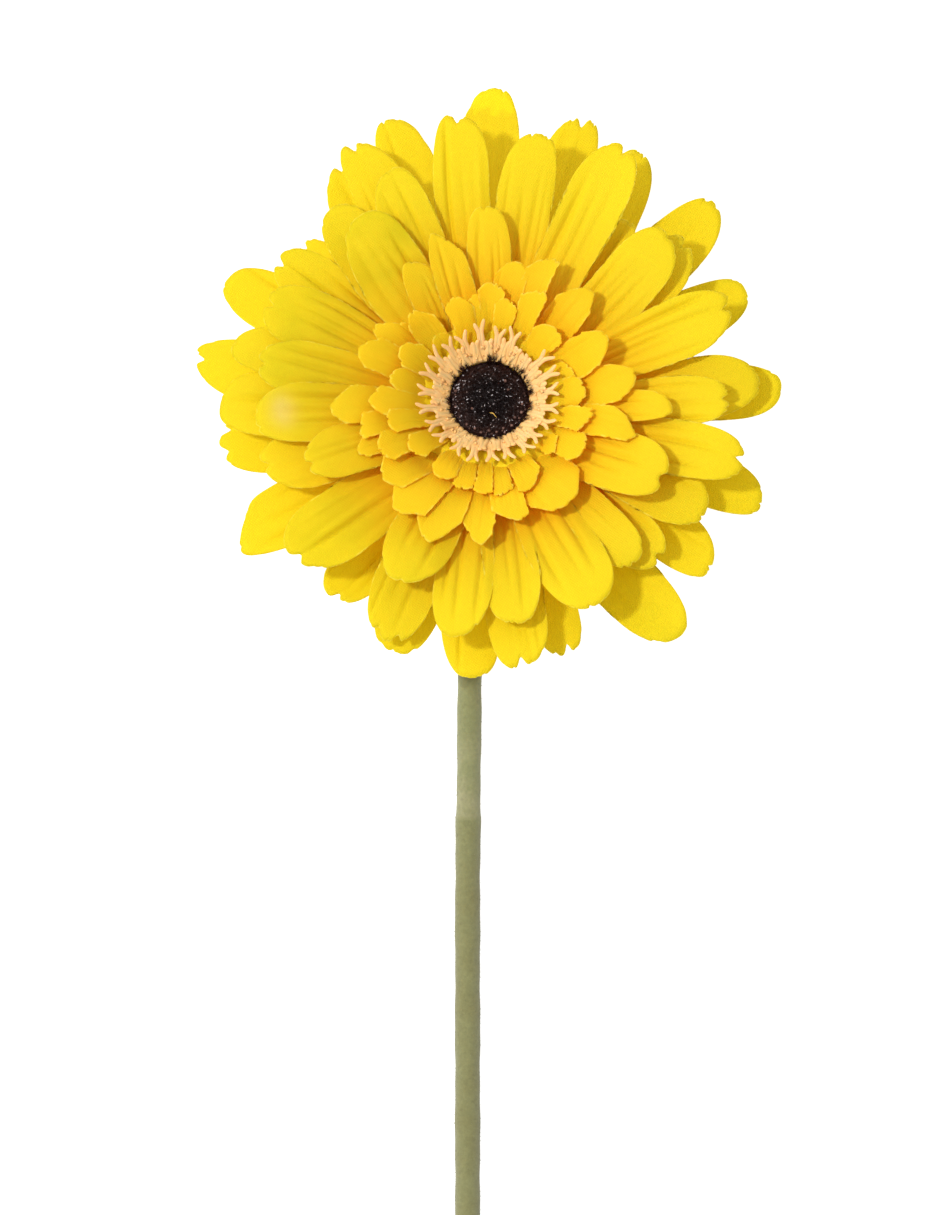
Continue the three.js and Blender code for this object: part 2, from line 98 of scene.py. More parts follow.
WHORLS = [
    dict(
        name="petals_back", root=-2.6, tip=-8, up=7.5, arch=1.0, widest=0.76, **STRAP,
        warm=(21, 32, 0.9), green=0.35,
        painted_shade={66.7: 1.0, 88.3: 0.7, 142.5: 0.7, 218.2: 0.6, 201.2: 0.5, 326.4: 0.7, 110.6: 0.5},
        droop=(-2.4, -0.6), lift=(-0.3, 0.8),
        petals=[
            (0.8, 63.4, 12.4, 1), (18.5, 59.9, 11.2, 2), (32, 59, 11.5, 1), (50.2, 60, 12.2, 1),
            (66.7, 56.2, 12, 1), (88.3, 58.7, 12, 1), (110.6, 58.3, 11.5, 1),
            (126.9, 56, 11.6, 1), (142.5, 61.2, 13.2, 1), (163.6, 53.6, 10.4, 2),
            (184, 56.2, 11.8, 1), (201.2, 54.6, 13.4, 1), (218.2, 51, 11.5, 2),
            (240.4, 56.8, 13.2, 1, 0.5, -0.1), (260.2, 55, 13, 3), (276.8, 59.8, 12.4, 2),
            (295, 58, 13, 1), (308, 49.2, 11, 2), (326.4, 57, 11, 2), (340.8, 60, 12, 1),
        ],
    ),
    dict(
        name="petals_second", root=-0.8, tip=6, up=1.5, arch=1.5, widest=0.76, **STRAP,
        warm=(21, 32, 0.9), green=0.25,
        painted_shade={282.2: 0.9, 269.4: 0.5, 303.5: 0.8, 320: 0.9, 204: 0.5},
        droop=(-0.8, 1.0), lift=(-0.8, 0.8),
        petals=[
            (37, 45.8, 10, 1), (53, 51, 12, 2), (86, 54.4, 12.5, 1), (118.5, 48.8, 12, 1),
            (134.5, 47, 11.5, 2), (172.3, 54.4, 12.2, 2), (204, 52.6, 12.7, 3),
            (252.2, 47.4, 12.2, 2), (269.4, 54, 13.3, 1), (282.2, 52.6, 10.4, 1),
            (303.5, 51, 11.5, 2), (320, 49.8, 12, 1), (332.6, 59.2, 11.4, 2),
        ],
    ),
    dict(
        name="petals_third", root=0.7, tip=11, up=1.5, arch=1.6, widest=0.76, **STRAP,
        warm=(20, 30, 0.75), green=0.2,
        painted_shade={280: 1.2, 294: 1.2, 230.8: 1.0, 335: 0.6},
        droop=(-0.8, 0.7), lift=(-1.0, 1.0),
        petals=[
            (9.8, 54.6, 11.2, 1), (28, 57.6, 12.5, 2), (48.5, 48.4, 12.5, 1), (69.5, 52, 12.5, 2),
            (90, 48, 10.5, 2), (104.6, 52.4, 11.5, 2), (138, 43.6, 9.8, 1), (153.6, 46.9, 14.4, 1),
            (173, 45.4, 11, 1), (187.5, 48.2, 11.7, 1), (230.8, 50.6, 14.5, 2),
            (280, 47, 11.8, 2), (294, 49, 13, 2), (335, 50.2, 11.2, 1), (353.7, 57.7, 11.2, 2),
        ],
    ),
    dict(
        name="petals_fourth", cream_patch=266, root=2, tip=14, up=1, arch=1.2, widest=0.7,
        **STRAP, warm=(15, 27, 0.55), green=0.2,
        painted_shade={323.5: 1.6, 206: 0.9, 251: 1.0, 266: 0.7, 331: 0.7},
        droop=(-0.8, 0.7), lift=(-1.0, 1.0),
        petals=[
            (115.5, 38.6, 13, 2), (206, 41, 13.4, 1, 0, 0), (251, 39, 11, 2), (266, 47, 12.5, 1),
            (323.5, 45, 14.5, 1), (359.5, 39, 8.6, 1, 0.4, 0), (343.5, 33.8, 7.6, 1, 0.3, -0.14),
            (331, 31.4, 8, 1, 0.3, -0.1),
            (92.5, 36.4, 6.5, 1, 0.3, 0.05),
        ],
    ),
    dict(
        name="petals_fifth", root=3.3, tip=14.5, arch=0.8, widest=0.62, rows=33, cols=45, joined=19,
        over={232.5: -0.7, 249.5: -0.6, 257.5: 0.2, 217: 0.6, 202.5: 0.1, 186.5: -0.6},
        curl=(-1.4, 0.9), warm=(10, 40, 0.02), green=0.12,
        painted_shade={249.5: 0.7, 257.5: 0.7, 267.5: 0.9, 291: 1.0, 303.5: 1.0, 318.5: 0.9, 232.5: 0.5},
        droop=(-0.6, 0.8), lift=(-1.0, 0.8),
        cut=[
            (10.5, 6.4, 25, 27.4, 28.2, 28, 26), (22, 5.6, 27, 29.4, 30.3, 31.2, 30.6),
            (41, 7.6, 24.5, 28, 30, 30.2, 26), (64.5, 7.8, 22, 26.4, 26.5, 25.2, 22.5),
            (82.5, 8, 24.5, 29.6, 29.6, 28.7, 26), (101.5, 6.8, 24.5, 27.6, 29, 30.6, 28.5),
            (143.5, 12.6, 21.5, 25.6, 26.4, 25.9, 22.6), (169.5, 6.8, 24, 25.2, 24.6, 23.6, 22.4),
            (186.5, 7.2, 27, 29.4, 28.6, 26.4, 24), (202.5, 8.8, 25.4, 29.2, 31.4, 30.5, 27.5),
            (217, 9, 27, 27.8, 29.4, 29.2, 25.5), (232.5, 8, 24.9, 26.2, 26.8, 26, 23.6),
            (249.5, 4.4, 26.5, 28.2, 28.3, 27.6, 26), (257.5, 5.4, 26.4, 27.1, 26.4, 26, 25.4),
            (267.5, 7.8, 29, 31.6, 32, 30.2, 27.4), (291, 7, 25.4, 27.6, 28.1, 26.8, 24.2),
            (303.5, 6.8, 24, 27, 27.3, 25, 22.4), (318.5, 6.2, 21, 23, 23.6, 21.8, 19.8),
        ],
    ),
    dict(
        name="petals_inner", root=4.4, rise=0.65, arch=0.5, widest=0.6, rows=29, cols=41, joined=14,
        broad=0.34, wedge=True,
        over={
            256: 0.9, 245: -0.3, 236: 0.7, 269: 0.1, 212: 0.1, 197: -0.3, 184: 0.1, 171: -0.2,
            153: 0.3, 282.5: -0.5, 300: 0.5, 321: -0.4, 341.5: 0.5, 353.5: -0.5,
        },
        curl=(-1.5, 0.9), warm=(8, 40, 0.0), green=0.1,
        painted_shade={
            245: 0.8, 256: 0.9, 269: 1.0, 282.5: 1.1, 300: 1.1, 321: 0.9, 236: 0.6, 341.5: 0.5,
        },
        droop=(-0.4, 0.6), lift=(-0.6, 1.0),
        cut=[
            (1.5, 6, 21.5, 23.2, 23.6, 23, 21.3), (10, 5.2, 18.6, 19.9, 20.2, 19.7, 18.2),
            (23.5, 6, 21.6, 22.6, 23.4, 24, 22.5), (42, 7.6, 16, 18.2, 19.2, 19.2, 17.6),
            (70, 7, 15.8, 16.9, 17.6, 17.9, 16.8), (84, 7, 17, 18.7, 19.3, 19.4, 17.6),
            (93, 5.2, 17.2, 17.7, 17.6, 17.4, 16.8), (103, 5.8, 20.2, 20.9, 20.4, 19.6, 18.6),
            (118.5, 7.4, 19.8, 21.2, 21.7, 21.5, 19.8), (127, 5.2, 15.4, 16, 16.8, 17.2, 16),
            (153, 7.2, 16.6, 18.2, 19.6, 20.1, 19.4), (171, 4.2, 18.6, 18.9, 19.4, 19.7, 19.4),
            (184, 4, 18.8, 19.3, 19.3, 19.2, 18.6), (197, 4.3, 18.2, 18.8, 19, 19, 18.4),
            (212, 5.9, 17.2, 18.6, 19, 18.8, 17.4), (236, 6.2, 17.5, 18.8, 19.3, 18.9, 17.4),
            (245, 7, 22.6, 24.2, 24.5, 23.8, 22.2), (256, 5.4, 19.8, 20.9, 21, 20.8, 19.8),
            (269, 6.8, 21.4, 23.6, 24.3, 23.3, 21.5), (282.5, 6, 18.4, 20.2, 20.6, 19.8, 17.6),
            (300, 7.2, 18.2, 20.2, 20.7, 19.6, 16.8), (321, 5.8, 14.8, 16.4, 16.9, 16.2, 14.8),
            (341.5, 6.2, 19.6, 21.1, 21.4, 20.4, 18.6), (353.5, 5, 19.4, 20.9, 21.1, 20.6, 18.6),
        ],
    ),
]


def head_origin():
    """The point of the table under the middle of the disc, in millimetres, from the frame."""
    low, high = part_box("disc")
    return np.array([(low.x + high.x) / 2 / MM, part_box("stem")[0].y / MM + STEM_LENGTH, 0.0])


ORIGIN = head_origin()


# ---- settings, grids, meshes and materials -----------------------------------------------------

NO_TRIS = np.zeros((0, 3), int)


def size_property(name, description, default, low, high):
    """A length in metres that a user may change."""
    return FloatProperty(
        name=name, description=description, default=default, min=low, max=high,
        unit="LENGTH", precision=5,
    )


def colour_property(name, description, default):
    """A colour that a user may change."""
    return FloatVectorProperty(
        name=name, description=description, default=default, min=0, max=1, subtype="COLOR"
    )


def all_round(steps):
    """Angles of a full turn at even steps, with the last one short of the first."""
    return np.linspace(0, 2 * np.pi, steps, endpoint=False)


def on_table(x, y, c):
    """Points of the head's own frame on the table, in millimetres: each is turned about the
    x axis by the lean, with the middle of the disc's top kept over the origin."""
    rise = c - DISC_TOP
    sin, cos = math.sin(LEAN), math.cos(LEAN)
    return np.stack(
        np.broadcast_arrays(
            x + ORIGIN[0],
            y * cos + rise * sin + ORIGIN[1],
            HEAD_HEIGHT - y * sin + c * cos,
        ),
        axis=-1,
    )


def smoothstep(low, high, x):
    """A smooth step from 0 at low to 1 at high: 3t squared less 2t cubed."""
    t = np.clip((x - low) / (high - low), 0, 1)
    return t * t * (3 - 2 * t)


def grid_faces(count, rows, cols, closed=False):
    """Faces between the neighbours of count grids that follow each other in one array of points.
    A closed grid runs round, and one middle point at each end follows its rows."""
    span = cols if closed else cols - 1
    r, c = np.meshgrid(np.arange(rows - 1), np.arange(span), indexing="ij")
    after = (c + 1) % cols
    low, high = r * cols, (r + 1) * cols
    quads = np.stack([low + c, low + after, high + after, high + c], -1)
    size = rows * cols + (2 if closed else 0)
    first = np.arange(count)[:, None, None] * size
    quads = (quads.reshape(1, -1, 4) + first).reshape(-1, 4)
    if not closed:
        return quads, NO_TRIS
    around = np.arange(cols)
    beside = (around + 1) % cols
    start = np.stack([beside, around, np.full(cols, rows * cols)], -1)
    last = (rows - 1) * cols
    end = np.stack([last + around, last + beside, np.full(cols, rows * cols + 1)], -1)
    tris = (np.concatenate([start, end])[None] + first).reshape(-1, 3)
    return quads, tris


def with_poles(grid):
    """The points of closed grids as one list, each grid followed by the middles of its ends."""
    count = grid.shape[0]
    flat = grid.reshape(count, -1, 3)
    return np.concatenate([flat, grid[:, :1].mean(2), grid[:, -1:].mean(2)], 1).reshape(-1, 3)


def new_object(name, data):
    """An object at the origin, put into the scene."""
    made = bpy.data.objects.new(name, data)
    bpy.context.scene.collection.objects.link(made)
    return made


def add_piece(name, points, faces, node, material, attributes=None):
    """A smooth mesh object at the origin, from points in millimetres and a pair of quads and
    triangles, which rides on the root body."""
    quads, tris = faces
    mesh = bpy.data.meshes.new(name)
    mesh.vertices.add(len(points))
    mesh.vertices.foreach_set("co", (points * MM).astype(np.float32).ravel())
    corners = np.concatenate([quads.ravel(), tris.ravel()])
    mesh.loops.add(len(corners))
    mesh.loops.foreach_set("vertex_index", corners.astype(np.int32))
    starts = np.concatenate(
        [np.arange(len(quads)) * 4, len(quads) * 4 + np.arange(len(tris)) * 3]
    )
    mesh.polygons.add(len(starts))
    mesh.polygons.foreach_set("loop_start", starts.astype(np.int32))
    mesh.update(calc_edges=True)
    mesh.polygons.foreach_set("use_smooth", np.full(len(starts), True))
    for key, values in (attributes or {}).items():
        layer = mesh.attributes.new(key, "FLOAT", "POINT")
        layer.data.foreach_set("value", values.astype(np.float32).ravel())
    mesh.materials.append(material)
    piece = new_object(name, mesh)
    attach(piece, "root")
    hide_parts(node)
    return piece


def add_closed(name, grid, node, material, attributes=None):
    """A piece of closed grids, each shut at both ends round a middle point."""
    faces = grid_faces(*grid.shape[:3], closed=True)
    return add_piece(name, with_poles(grid), faces, node, material, attributes)


def give_wall(piece, name, thickness):
    """Gives a blade its thickness, half of it on each side."""
    wall = piece.modifiers.new(name, "SOLIDIFY")
    wall.thickness = thickness
    wall.offset = 0


def new_node(tree, kind, sockets=None, **settings):
    """A node with its settings made, and each socket given a value or joined to an output."""
    made = tree.nodes.new(kind)
    for key, value in settings.items():
        setattr(made, key, value)
    for key, value in (sockets or {}).items():
        if isinstance(value, bpy.types.NodeSocket):
            tree.links.new(value, made.inputs[key])
        else:
            made.inputs[key].default_value = value
    return made


def blend(tree, factor, first, second, kind="MIX"):
    """The colour between first and second at factor."""
    sockets = {0: factor, 6: first, 7: second}
    return new_node(tree, "ShaderNodeMix", sockets, data_type="RGBA", blend_type=kind).outputs[2]


def scaled(tree, value, low, high, to_low=0.0, to_high=1.0):
    """A number mapped from one range to another and kept inside it."""
    sockets = {0: value, 1: low, 2: high, 3: to_low, 4: to_high}
    return new_node(tree, "ShaderNodeMapRange", sockets).outputs[0]


def calculated(tree, operation, first, second=0.0):
    """The result of one operation on two numbers."""
    return new_node(tree, "ShaderNodeMath", {0: first, 1: second}, operation=operation).outputs[0]


def attribute(tree, name):
    """A number that the mesh holds at its points."""
    return new_node(tree, "ShaderNodeAttribute", attribute_name=name).outputs["Fac"]


def noise(tree, place, pitch, detail=2.0, roughness=0.5):
    """Soft noise whose blotches are about pitch metres across."""
    sockets = {"Vector": place, "Scale": 1 / pitch, "Detail": detail, "Roughness": roughness}
    return new_node(tree, "ShaderNodeTexNoise", sockets).outputs["Fac"]


def new_material(name):
    """An empty material with its tree, its output and the place in the object."""
    material = bpy.data.materials.new(name)
    material.use_nodes = True
    tree = material.node_tree
    tree.nodes.clear()
    out = tree.nodes.new("ShaderNodeOutputMaterial")
    place = new_node(tree, "ShaderNodeTexCoord").outputs["Object"]
    return material, tree, out, place


def bumped(tree, height, strength, distance):
    """The normal of a surface with a small relief of this height, in metres."""
    sockets = {"Height": height, "Strength": strength, "Distance": distance}
    return new_node(tree, "ShaderNodeBump", sockets).outputs[0]


def give_finish(tree, out, sockets):
    """Gives a material's output one Principled surface."""
    skin = new_node(tree, "ShaderNodeBsdfPrincipled", sockets)
    tree.links.new(skin.outputs[0], out.inputs["Surface"])


def weave(tree, place, pitch, turn):
    """Height of a plain weave: the product of two waves that cross, turned on the cloth."""
    sockets = {"Vector": place, "Rotation": (0.0, 0.0, turn)}
    slanted = new_node(tree, "ShaderNodeMapping", sockets).outputs[0]
    scale = 2 * math.pi / (20 * pitch)
    sockets = {"Vector": slanted, "Scale": scale, "Distortion": 1.5, "Detail": 1.0}
    warp = new_node(tree, "ShaderNodeTexWave", sockets, bands_direction="X").outputs["Fac"]
    weft = new_node(tree, "ShaderNodeTexWave", sockets, bands_direction="Y").outputs["Fac"]
    return calculated(tree, "MULTIPLY", warp, weft)


# ---- petals ------------------------------------------------------------------------------------


class PetalSettings(bpy.types.PropertyGroup):
    """Sizes and colours of the cloth petals."""

    thickness: size_property(
        "Cloth thickness", "Thickness of the pressed cloth", 0.0003, 0.0001, 0.0006
    )
    groove: size_property(
        "Groove depth", "Depth of the grooves pressed along a petal", 0.0008, 0.0, 0.002
    )
    tooth: size_property(
        "Tooth depth", "Depth of the small teeth at a petal's tip", 0.0008, 0.0, 0.002
    )
    weave: size_property(
        "Weave pitch", "From one thread of the cloth to the next", 0.00042, 0.0001, 0.002
    )
    light: colour_property(
        "Petal yellow", "Colour of the outer part of the petals", (0.955, 0.83, 0.017)
    )
    # Root yellow: partly a dyed root, partly painted orange shade for the deep gaps between petals.
    warm: colour_property("Root yellow", "Warmer colour near the roots", (1.0, 0.50, 0.002))
    # Greenish yellow: a random tone, and also painted shade on petals that face away from the light
    green: colour_property(
        "Greenish yellow", "Colour that some petals lean to", (0.75, 0.715, 0.012)
    )
    # A pale cream patch near the tip of one petal.
    cream_patch: colour_property(
        "Faded yellow", "Colour of the worn patch on one petal", (0.96, 0.84, 0.40)
    )
    passed: colour_property(
        "Light through", "Colour of the light that the outer cloth lets through", (0.80, 0.67, 0.0)
    )
    glow: colour_property(
        "Light through the middle", "The same for the cloth near the middle", (1.0, 0.49, 0.0)
    )
    # Cut edge: pale bare threads, which also serve as a painted highlight where the rims catch the
    # light.
    pale: colour_property("Cut edge", "Colour of the bare threads at the edge", (1.0, 0.90, 0.12))


def tip_line(v, widest, lobes, square, slant, teeth):
    """How far a petal runs at v, as a share of its length: where it is widest, plus a tip of
    (1 - |v|^a)^(1/b), which is round or square, and a slant, less one notch between two lobes
    or two between three, less the teeth."""
    left = np.maximum(1 - np.minimum(np.abs(v), 1) ** (2.3 + 2.2 * square), 0)
    tip = left ** (1 / (2.1 + 1.2 * square))
    notch_at = np.where(lobes == 3, 0.35, 0.0)
    notch = 0.035 * np.exp(-(((np.abs(v) - notch_at) / 0.13) ** 2)) * (lobes > 1)
    return widest + (1 - widest) * tip + slant * v * left - notch - teeth


def cut_line(v, cut):
    """The tip line of a raggedly cut petal: straight cuts between its five places, as shares of
    its length, with corners blunted by the mean of three lines set a little apart."""
    at = np.linspace(-1, 1, cut.shape[1])
    lines = [
        sum(np.interp(row + aside, at, ends) for aside in (-0.07, 0, 0.07)) / 3
        for row, ends in zip(np.broadcast_to(v, (len(cut), 1, v.shape[-1])), cut)
    ]
    return np.stack(lines)


def teeth_line(v, count, rng, depth):
    """Small sharp teeth along the tip: at each of nine places a notch that falls off linearly."""
    at = rng.uniform(-0.85, 0.85, (count, 9))[:, None, None, :]
    deep = (rng.uniform(0, 1, (count, 9)) ** 3)[:, None, None, :]
    wide = rng.uniform(0.05, 0.13, (count, 9))[:, None, None, :]
    notches = deep * np.clip(1 - np.abs(v[..., None] - at) / wide, 0, 1)
    return depth * notches.max(-1)


def petal_table(petals):
    """The rows of a whorl's table at one length, with nan where a row gives nothing."""
    table = np.full((len(petals), 7), np.nan)
    for row, petal in zip(table, petals):
        row[: len(petal)] = petal
    return table


def pressed_folds(q, v, each):
    """Folds along a blade: each is a bell across it that drifts aside along it, and fades in and
    out with a smooth step."""
    folds = 0
    for place in FOLD_PLACES:
        depth = each(-0.4, 1.4)
        aside = v - place - each(-0.1, 0.1) - each(-0.3, 0.3) * (q - 0.5)
        bell = depth * np.exp(-((aside / each(0.065, 0.125)) ** 2))
        bell = bell * smoothstep(0, 1, (q - each(0, 0.25)) / 0.25)
        folds = folds + bell * smoothstep(0, 1, (each(0.8, 1.05) - q) / 0.25)
    return folds


def petal_grids(whorl, settings, rng):
    """Middle surfaces of a whorl's petals. The centre line runs from the root to the tip as
    ARCH_PEAK arch q^3 (1 - q) over the straight line, at q = u times the tip line; across it the
    half width swells with a quarter sine, or evenly on a wedge. The pressed folds, the curl of the
    edges, a ripple, a slow swell and the droop of the tip are added to the height, and on a cut
    petal a crown of half a sine from where the whorl hangs together. The pale cream patch is a bell
    along and across."""
    is_cut = "cut" in whorl
    petals = sorted(whorl["cut"] if is_cut else whorl["petals"])
    count, rows, cols = len(petals), whorl["rows"], whorl["cols"]
    shape = (count, rows, cols)
    table = petal_table(petals)
    if is_cut:
        bearing, width = table[:, 0, None, None], table[:, 1, None, None]
        cut = table[:, 2:]
        reach = cut.max(1)[:, None, None]
    else:
        bearing, reach, width, lobes, square, slant = (table[:, i, None, None] for i in range(6))
    u = np.linspace(0, 1, rows)[None, :, None]
    v = np.sin(np.pi / 2 * np.linspace(-1, 1, cols))[None, None, :]

    def each(low, high):
        return rng.uniform(low, high, (count, 1, 1))

    rise = whorl.get("rise")
    root_height = whorl["root"]
    angle = np.radians(bearing)
    if rise is None:
        tip_height = whorl["tip"] + whorl.get("up", 0) * np.clip(0.6 - np.cos(angle), 0, 1)
    else:
        tip_height = root_height + rise * (reach - PETAL_ROOT_RADIUS)
    tip_x = reach * np.sin(angle)
    tip_y = (reach * np.cos(angle) - (tip_height - DISC_TOP) * math.sin(LEAN)) / math.cos(LEAN)
    far = np.hypot(tip_x, tip_y)
    length = far - PETAL_ROOT_RADIUS
    along_x, along_y = tip_x / far, tip_y / far

    teeth = teeth_line(v, count, rng, settings.tooth / MM) / length
    if is_cut:
        ends = (cut - PETAL_ROOT_RADIUS) / (reach[:, 0] - PETAL_ROOT_RADIUS)
        q = u * (cut_line(v, ends) - teeth)
    else:
        square = np.where(np.isnan(square), each(0, 0.25), square)
        slant = np.where(np.isnan(slant), each(-0.03, 0.03), slant)
        skewed = v + each(-0.2, 0.2) * (1 - v * v)
        q = u * tip_line(skewed, whorl["widest"], lobes, square, slant, teeth)
    swell = q if whorl.get("wedge") else np.sin(np.pi / 2 * np.minimum(q / whorl["widest"], 1))
    wobble = 1 + 0.035 * np.sin(q * each(7, 13) + each(0, 6.3) + np.sign(v) * each(0.5, 2))
    root_share = whorl.get("broad", PETAL_ROOT_SHARE)
    across = v * width / 2 * (root_share + (1 - root_share) * swell) * wobble
    ragged = rng.normal(0, 0.11, (count, rows, 1)) * v**9 * smoothstep(0.15, 0.4, q)
    across = across + ragged * (1 if is_cut else 0.5)
    bow = each(-0.9, 0.9) * 4 * q * (1 - q) * (length / 50)
    roll = PETAL_ROLL * np.sin(7 * bearing)
    lap = np.where(np.arange(count) % 2, PETAL_LAP, -PETAL_LAP)
    over = whorl.get("over", {})
    lap = np.array([over.get(petal[0], low) for petal, low in zip(petals, lap)])[:, None, None]

    scale = width / PETAL_WIDTH
    folds = pressed_folds(q, v, each) * (0.4 + 0.6 * swell)
    curl = each(*whorl["curl"]) * scale * np.abs(v) ** 3 * smoothstep(0.2, 0.7, q)
    ripple = each(0.1, 0.4) * scale * v**4 * np.sin(q * each(9, 16) + each(0, 6.3) + v)
    slow = each(0.1, 0.5) * scale * np.sin(q * each(4, 8) + v * each(-1.5, 1.5) + each(0, 6.3)) * q
    bend = 0.45 if is_cut else 0.75
    bent = np.clip((q - bend) / (1 - bend), 0, 1) ** 2
    droop = each(*whorl["droop"]) * np.minimum(scale, 1) * bent
    lift = each(*whorl["lift"]) * q**1.5
    if is_cut:
        joined = whorl["joined"]
        free = np.clip((PETAL_ROOT_RADIUS + length * q - joined) / (reach - joined), 0, 1)
        lift = lift + each(0.02, 0.1) * (reach - joined) * np.sin(np.pi * free**0.85)

    line = root_height + (tip_height - root_height) * q
    line = line + ARCH_PEAK * whorl["arch"] * q**3 * (1 - q)
    height = line + lap + (PETAL_CUP * v * v + roll * across) * q
    height = height + curl + ripple + slow + lift - droop
    height = height - settings.groove / MM * folds * scale * (0.4 if is_cut else 1)
    side = across + bow
    x = along_x * (PETAL_ROOT_RADIUS + length * q) + along_y * side
    y = along_y * (PETAL_ROOT_RADIUS + length * q) - along_x * side
    points = on_table(x, y, height)
    points[..., 2] = np.maximum(points[..., 2], settings.thickness / MM / 2)

    edge = np.minimum((1 - u) * q[:, -1:, :] * length, (1 - np.abs(v)) * width / 2)
    out = PETAL_ROOT_RADIUS + length * q
    # The warm root colour also paints orange shade into the deep gaps between the petals.
    near, off, most = whorl["warm"]
    # The petal at the given bearing gets a pale cream patch near its tip.
    has_cream_patch = whorl.get("cream_patch", 0) == bearing
    # A random greenish tone, plus painted shade by bearing on petals that face away from the light
    # or lie in the shadow of others.
    tint_and_painted_shade = each(0, 1) * whorl["green"]
    tint_and_painted_shade = tint_and_painted_shade + np.array([whorl["painted_shade"].get(petal[0], 0) for petal in petals])[:, None, None]
    values = {
        "cream_patch": np.exp(-(((q - 0.86) / 0.055) ** 2) - ((v - 0.1) / 0.45) ** 2) * has_cream_patch,
        "edge": np.broadcast_to(edge * (0.4 if is_cut else 0.7), shape),
        "root": np.broadcast_to(most * (1 - smoothstep(near, off, out)), shape),
        "glow": np.broadcast_to(1 - smoothstep(20, 46, out), shape),
        "tint_and_painted_shade": np.broadcast_to(tint_and_painted_shade * smoothstep(0.1, 0.7, q), shape),
    }
    return points, values


def web_grid():
    """The part near the middle where the innermost petals hang together: a cone that follows
    their middle line, waves a little round the axis, and dips between them at its outer edge."""
    angle = all_round(240)[None, :]
    r = np.linspace(WEB_INNER, WEB_OUTER, 24)[:, None] + 0 * angle
    whorl = WHORLS[-1]
    q = (r - PETAL_ROOT_RADIUS) / WEB_LENGTH
    line = whorl["root"] + whorl["rise"] * (r - PETAL_ROOT_RADIUS)
    line = line + ARCH_PEAK * whorl["arch"] * q**3 * (1 - q)
    wave = 0.12 * np.sin(24 * angle + 2 * np.sin(3 * angle)) * smoothstep(10, 14, r)
    dip = smoothstep(13.2 + 0.6 * np.sin(5 * angle) + 0.4 * np.sin(11 * angle + 1), 16.2, r)
    height = line + 0.7 - 0.9 * smoothstep(10.5, 13.5, r) + wave - 3 * dip
    points = on_table(r * np.sin(angle), r * np.cos(angle), height)
    quads = grid_faces(1, *r.shape, closed=True)[0][:, ::-1]
    values = {
        key: np.full(r.shape, value)
        for key, value in dict(edge=5.0, root=0.12, glow=1.0, tint_and_painted_shade=0.0, cream_patch=0.0).items()
    }
    return points.reshape(-1, 3), (quads, NO_TRIS), values


def cloth_material(settings, name, share):
    """Thin woven polyester: yellow that turns warmer to the roots, partly as painted orange shade
    in the deep gaps between petals, and greener on some petals, partly at random and partly as
    painted shade on petals that face away from the light or lie in shadow; a pale cream patch on
    one petal; pale at the cut edge, partly bare threads and partly a painted highlight of the rims;
    with a plain weave, and a share of the light goes through it."""
    material, tree, out, place = new_material(name)
    blotch = noise(tree, place, 0.007)
    colour = (*settings.light, 1)
    # The tones: a warmer root colour, partly dye and partly painted orange shade in the deep gaps
    # between petals; a greenish yellow, partly random and partly painted shade; and a pale cream
    # patch near the tip of one petal.
    for name, span, tone in (
        ("root", (0.2, 0.8, 0.75, 1.1), settings.warm),
        ("tint_and_painted_shade", (0.3, 0.7, 0.15, 0.6), settings.green),
        ("cream_patch", (0.2, 0.7, 0.25, 0.6), settings.cream_patch),
    ):
        uneven = scaled(tree, blotch, *span)
        share_of_tone = calculated(tree, "MULTIPLY", attribute(tree, name), uneven)
        colour = blend(tree, share_of_tone, colour, (*tone, 1))
    threads = weave(tree, place, settings.weave, 0.6)
    slub = noise(tree, place, settings.weave * 1.6, 3.0, 0.7)
    grain = calculated(tree, "ADD", threads, slub)
    dim = scaled(tree, grain, 0.2, 1.4, 0.85, 1.02)
    red = scaled(tree, grain, 0.2, 1.4, 0.96, 1.0)
    shade = new_node(tree, "ShaderNodeCombineColor", {0: red, 1: dim, 2: dim}).outputs[0]
    colour = blend(tree, 1.0, colour, shade, "MULTIPLY")
    # A pale band along every free edge, broken by noise: partly bare cut threads, partly a painted
    # highlight of the rims.
    bare_and_rim_highlight = calculated(
        tree, "MULTIPLY", scaled(tree, attribute(tree, "edge"), 0.03, 0.17, 0.62, 0.0),
        scaled(tree, noise(tree, place, 0.0013), 0.42, 0.62),
    )
    colour = blend(tree, bare_and_rim_highlight, colour, (*settings.pale, 1))
    bump = bumped(tree, grain, 0.5, 0.00016)
    skin = new_node(
        tree, "ShaderNodeBsdfPrincipled",
        {
            "Base Color": colour, "Roughness": 0.5, "Normal": bump, "Specular IOR Level": 0.1,
            "Sheen Weight": 0.03, "Sheen Roughness": 0.5,
        },
    )
    passed = blend(tree, attribute(tree, "glow"), (*settings.passed, 1), (*settings.glow, 1))
    passed = blend(tree, 1.0, passed, shade, "MULTIPLY")
    passed = blend(tree, bare_and_rim_highlight, passed, (*settings.pale, 1))
    through = new_node(tree, "ShaderNodeBsdfTranslucent", {"Color": passed, "Normal": bump})
    sockets = {0: share, 1: skin.outputs[0], 2: through.outputs[0]}
    both = new_node(tree, "ShaderNodeMixShader", sockets)
    tree.links.new(both.outputs[0], out.inputs["Surface"])
    return material


